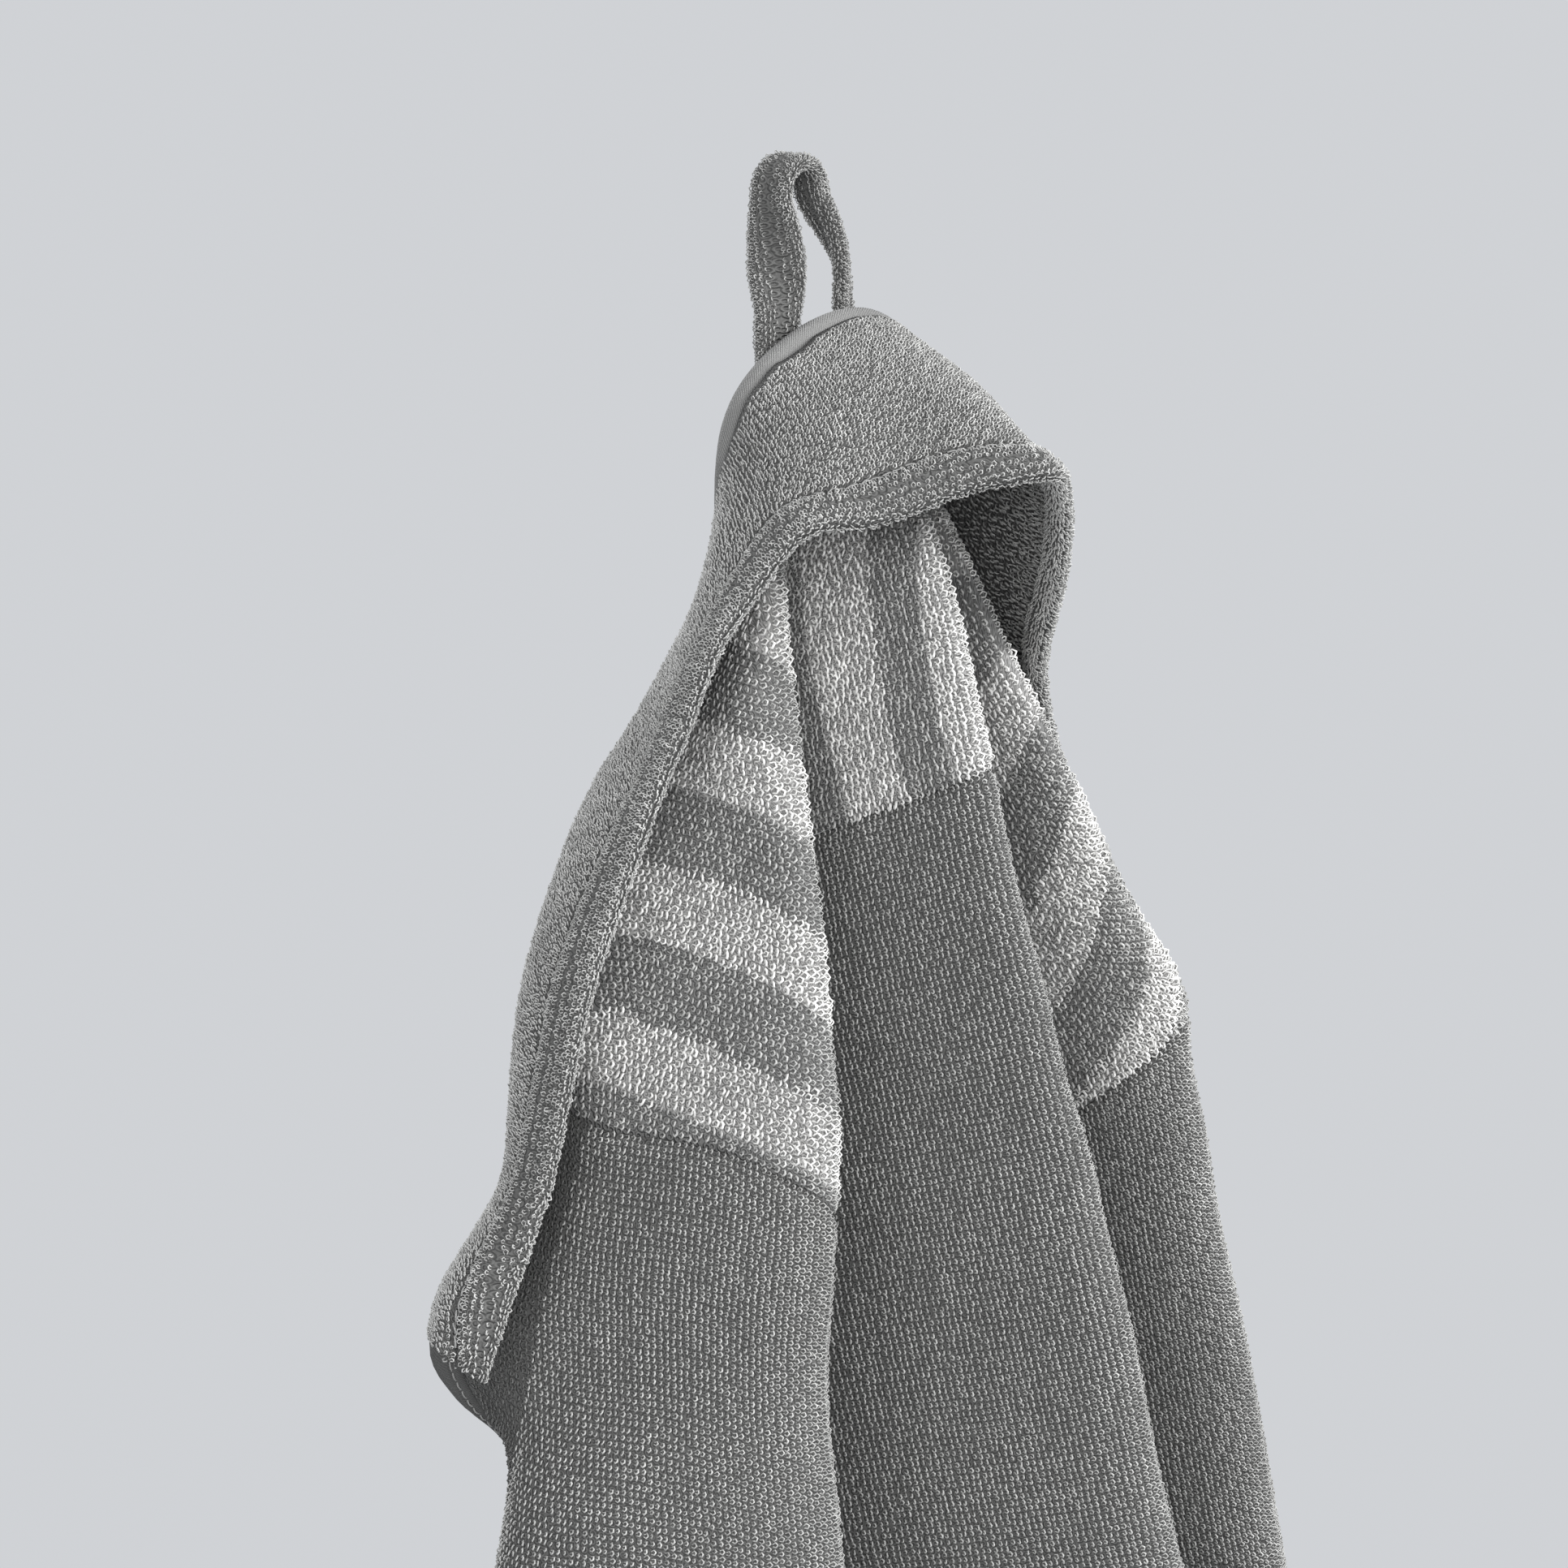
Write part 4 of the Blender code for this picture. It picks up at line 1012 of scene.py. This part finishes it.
def stitch_tree():
    """One short capsule of thread per point, lying along its direction."""
    tree = bpy.data.node_groups.new("stitches", "GeometryNodeTree")
    put = tree.interface.new_socket
    put("Geometry", in_out="INPUT", socket_type="NodeSocketGeometry")
    put("Length", in_out="INPUT", socket_type="NodeSocketFloat").default_value = 0.0024
    put("Thread Radius", in_out="INPUT", socket_type="NodeSocketFloat").default_value = 0.00024
    put("Thread", in_out="INPUT", socket_type="NodeSocketMaterial")
    put("Geometry", in_out="OUTPUT", socket_type="NodeSocketGeometry")
    net = Net(tree)
    given = net.add("NodeGroupInput")
    reach = given.also("Length") / 2
    first = net.add("ShaderNodeCombineXYZ", None, 0.0, 0.0 - reach, -0.0002)
    top = net.add("ShaderNodeCombineXYZ", None, 0.0, 0.0, 0.0005)
    second = net.add("ShaderNodeCombineXYZ", None, 0.0, reach, -0.0002)
    arch = net.add("GeometryNodeCurveQuadraticBezier", None, Resolution=4, Start=first, Middle=top,
                   End=second)
    section = net.circle(4, given.also("Thread Radius"))
    bit = net.add("GeometryNodeCurveToMesh", None, Curve=arch, Profile_Curve=section, Fill_Caps=True)
    bit = net.add("GeometryNodeSetShadeSmooth", None, Geometry=bit)
    turn = net.upright(net.named("out"), net.named("down"))
    many = net.add("GeometryNodeInstanceOnPoints", None, Points=given.also("Geometry"), Instance=bit,
                   Rotation=turn)
    real = net.add("GeometryNodeRealizeInstances", None, Geometry=many)
    done = net.add("GeometryNodeSetMaterial", None, Geometry=real, Material=given.also("Thread"))
    net.add("NodeGroupOutput", None, done)
    return tree


STITCHES = stitch_tree()


def thread_look(net):
    place = net.add("ShaderNodeTexCoord").also("Object")
    ply = net.noise(place, 2600.0, 1.0)
    return net.scaled((0.3, 0.3, 0.295), 0.75 + 0.5 * ply), ply


thread = surface("sewing thread", thread_look, rough=0.6, sheen=0.1, bump=0.00006)


def stitch_row(name, path, out, spacing, **look):
    """A row of stitches along a path, evenly spaced."""
    arc = np.concatenate([[0], np.cumsum(np.linalg.norm(np.diff(path, axis=0), axis=1))])
    at = np.arange(spacing / 2, arc[-1], spacing)
    p = np.stack([np.interp(at, arc, path[:, i]) for i in range(3)], -1)
    n = unit(np.stack([np.interp(at, arc, out[:, i]) for i in range(3)], -1))
    ahead = np.stack([np.interp(at + 0.3, arc, path[:, i]) for i in range(3)], -1)
    behind = np.stack([np.interp(at - 0.3, arc, path[:, i]) for i in range(3)], -1)
    roots = rooted(name, p, n, unit(ahead - behind), 1.0)
    return grown(name, STITCHES, roots, "towel", Thread=thread, **look)


# one row on each face of the tape, low on its inner half
for side, name in ((1, "binding_stitches_front"), (-1, "binding_stitches_back")):
    path = centre - outward * 1.75 + cross * side * 1.75
    path = np.concatenate([path, path[:1]])
    out = np.concatenate([cross * side - outward * 0.25, (cross * side)[:1]])
    stitch_row(name, path, out, 3.0)

# the hem's own row, in the groove between hem and hood
for side, name in ((1, "hem_stitches_outer"), (-1, "hem_stitches_inner")):
    k = np.linspace(0.6, STATIONS - 1.6, 900)
    d = np.interp(k, K_FINE, HEM_FROM) + 0.05
    p, n = hood_point(d, k)
    stitch_row(name, p + n * side * 0.55, n * side, 2.9)

# ------------------------------------------------------------------ hanging loop
# A folded strip of the terry, sewn into the corner under the binding; it passes
# over the peg with its flat side down, and its legs turn edge-on below.
STRAP_W, STRAP_T, PEG_R = 12.5, 4.4, 4.6
bend = PEG_R + STRAP_T / 2
LEGS = [  # across, out and height in millimetres, turn in degrees, share of the full width
    [(-8.5, -7.4, -53, 88, 1.0), (-8.5, -5.8, -45, 88, 1.0), (-8.3, -4.7, -37, 88, 1.0),
     (-7.7, -4.8, -30, 80, 1.0), (-7.1, -3.8, -21, 44, 1.0), (-6.8, -2.8, -13, 26, 0.92)],
    [(9.0, -4.6, -12, -22, 0.92), (12, -6.0, -20, -44, 0.9), (15, -4.6, -29.5, -58, 0.8),
     (16.2, -3.9, -37, -62, 0.8), (16.4, -4.2, -44, -66, 0.9), (16.4, -5.4, -53, -70, 0.9)],
]
over = [(bend * math.cos(a), SEAT_Y, -PEG_R + bend * math.sin(a), -8 * math.cos(a), 0.78)
        for a in np.linspace(math.pi, 0, 9)]
way = np.array(LEGS[0] + over + LEGS[1], float)
arc = np.concatenate([[0], np.cumsum(np.linalg.norm(np.diff(way[:, :3], axis=0), axis=1))])
STRAP_KEYS = np.linspace(0, arc[-1], 57)
way = curve(arc, way, STRAP_KEYS)


def strap_at(angle, k):
    """Surface of the strap: angle round its section, k in millimetres along it."""
    p = curve(STRAP_KEYS, way, k)
    after, before = curve(STRAP_KEYS, way, np.asarray(k) + 0.5), curve(STRAP_KEYS, way, np.asarray(k) - 0.5)
    run = unit(after[..., :3] - before[..., :3])
    turn = np.radians(p[..., 3])
    wide = square_to(np.stack([np.sin(turn), -np.cos(turn), 0 * turn], -1), run)
    thick = np.cross(run, wide)
    c, s = np.cos(angle), np.sin(angle)
    w = np.sign(c) * np.abs(c) ** 0.55 * p[..., 4] * STRAP_W / 2
    h = np.sign(s) * np.abs(s) ** 0.8 * (STRAP_T / 2 - 0.35) * (1 - 0.22 * np.exp(-(c / 0.3) ** 2))
    return p[..., :3] + wide * w[..., None] + thick * h[..., None]


STRAP_RINGS, STRAP_SIDES = 120, 28
kk = np.linspace(0.4, arc[-1] - 0.4, STRAP_RINGS)
ring = np.linspace(0, math.tau, STRAP_SIDES, endpoint=False)
p = strap_at(ring[None, :], kk[:, None])
faces = tube_quads(STRAP_RINGS, STRAP_SIDES) + tube_ends(STRAP_RINGS, STRAP_SIDES)
uv = np.stack(np.broadcast_arrays(ring[None, :] * 5.2, kk[:, None]), -1).reshape(-1, 2)
strap = solid("hanging_loop_strap", p.reshape(-1, 3), faces, hood_ground, uv=uv,
              marks={"bare": np.full(STRAP_RINGS * STRAP_SIDES, UNDER_PILE)})
a, k = ring_rows(strap_at, kk, kk - kk[0], 29.0, 1.3)
p = strap_at(a, k)
du, dk = strap_at(a + 0.04, k) - strap_at(a - 0.04, k), strap_at(a, k + 0.3) - strap_at(a, k - 0.3)
n = unit(np.cross(dk, du))
n *= np.sign(np.sum(n * (p - curve(STRAP_KEYS, way, k)[..., :3]), -1, keepdims=True))
roots = rooted("hanging_loop_pile", p - n * 0.15, n, unit(dk), 0.85)
strap_pile = grown("hanging_loop_pile", PILE, roots, None, Seed=81, Yarn=strap_yarn, Turn_Spread=0.45)
for obj in (strap, strap_pile):
    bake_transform(obj)
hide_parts("hanging_loop")

# ------------------------------------------------------------------ camera, floor and light
# A long lens a little above the hood from the left; a pale floor well under the
# towel, even soft light with the stronger side to the right and in front.
az, el, distance = math.radians(-50), math.radians(11.5), 1.4
back = np.array([math.sin(az) * math.cos(el), -math.cos(az) * math.cos(el), math.sin(el)])
target = np.array([0, 0.002, -0.140])
data = bpy.data.cameras.new("camera")
data.sensor_width, data.lens, data.clip_start = 36, 141, 0.05
camera = bpy.data.objects.new("camera", data)
bpy.context.scene.collection.objects.link(camera)
camera.location = target + back * distance
camera.rotation_euler = (math.pi / 2 - el, 0, az)
bpy.context.scene.camera = camera

me = bpy.data.meshes.new("floor")
FLOOR_RADIUS, FLOOR_Z, FLOOR_SIDES = 1.5, -1.03, 96
rim = [(FLOOR_RADIUS * math.cos(a), FLOOR_RADIUS * math.sin(a), FLOOR_Z)
       for a in np.linspace(0, math.tau, FLOOR_SIDES, endpoint=False)]
me.from_pydata(rim, [], [tuple(range(FLOOR_SIDES))])
floor = bpy.data.objects.new("floor", me)
bpy.context.scene.collection.objects.link(floor)
mat = bpy.data.materials.new("pale floor")
mat.use_nodes = True
mat.node_tree.nodes["Principled BSDF"].inputs["Base Color"].default_value = (0.31, 0.32, 0.33, 1)
mat.node_tree.nodes["Principled BSDF"].inputs["Roughness"].default_value = 0.9
me.materials.append(mat)
floor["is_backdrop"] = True


def lamp(name, place, towards, size, power):
    """Round soft lamp, aimed at a point."""
    data = bpy.data.lights.new(name, "AREA")
    data.shape, data.size, data.energy = "DISK", size, power
    obj = bpy.data.objects.new(name, data)
    bpy.context.scene.collection.objects.link(obj)
    place, towards = np.array(place, float), np.array(towards, float)
    d = place - towards
    obj.location = place
    obj.rotation_euler = (math.atan2(math.hypot(d[0], d[1]), d[2]), 0, math.atan2(d[0], -d[1]))


lamp("key", (0.9, -1.7, 1.0), (0, -0.03, -0.15), 1.8, 72)
lamp("left fill", (-1.5, -1.2, 0.4), (0, -0.03, -0.25), 1.8, 42)
lamp("back fill", (0.5, 2.0, 0.6), (0, 0, -0.45), 1.8, 45)
world = bpy.data.worlds.new("studio")
bpy.context.scene.world = world
world.use_nodes = True
sky = Net(world.node_tree)
direction = sky.add("ShaderNodeTexCoord").also("Generated")
toward = sky.add("ShaderNodeVectorMath", {"operation": "DOT_PRODUCT"}, direction, tuple(-back)).also("Value")
colour = sky.blend(sky.between(toward, -0.15, 0.75), (0.36, 0.37, 0.385, 1), (0.63, 0.645, 0.67, 1))
sky.add("ShaderNodeOutputWorld", None, sky.add("ShaderNodeBackground", None, colour, 1.0))
bpy.context.scene.view_settings.view_transform = "Standard"

size = {"cad": [list(map(float, v)) for v in cad_box], "visual": [list(map(float, v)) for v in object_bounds()]}
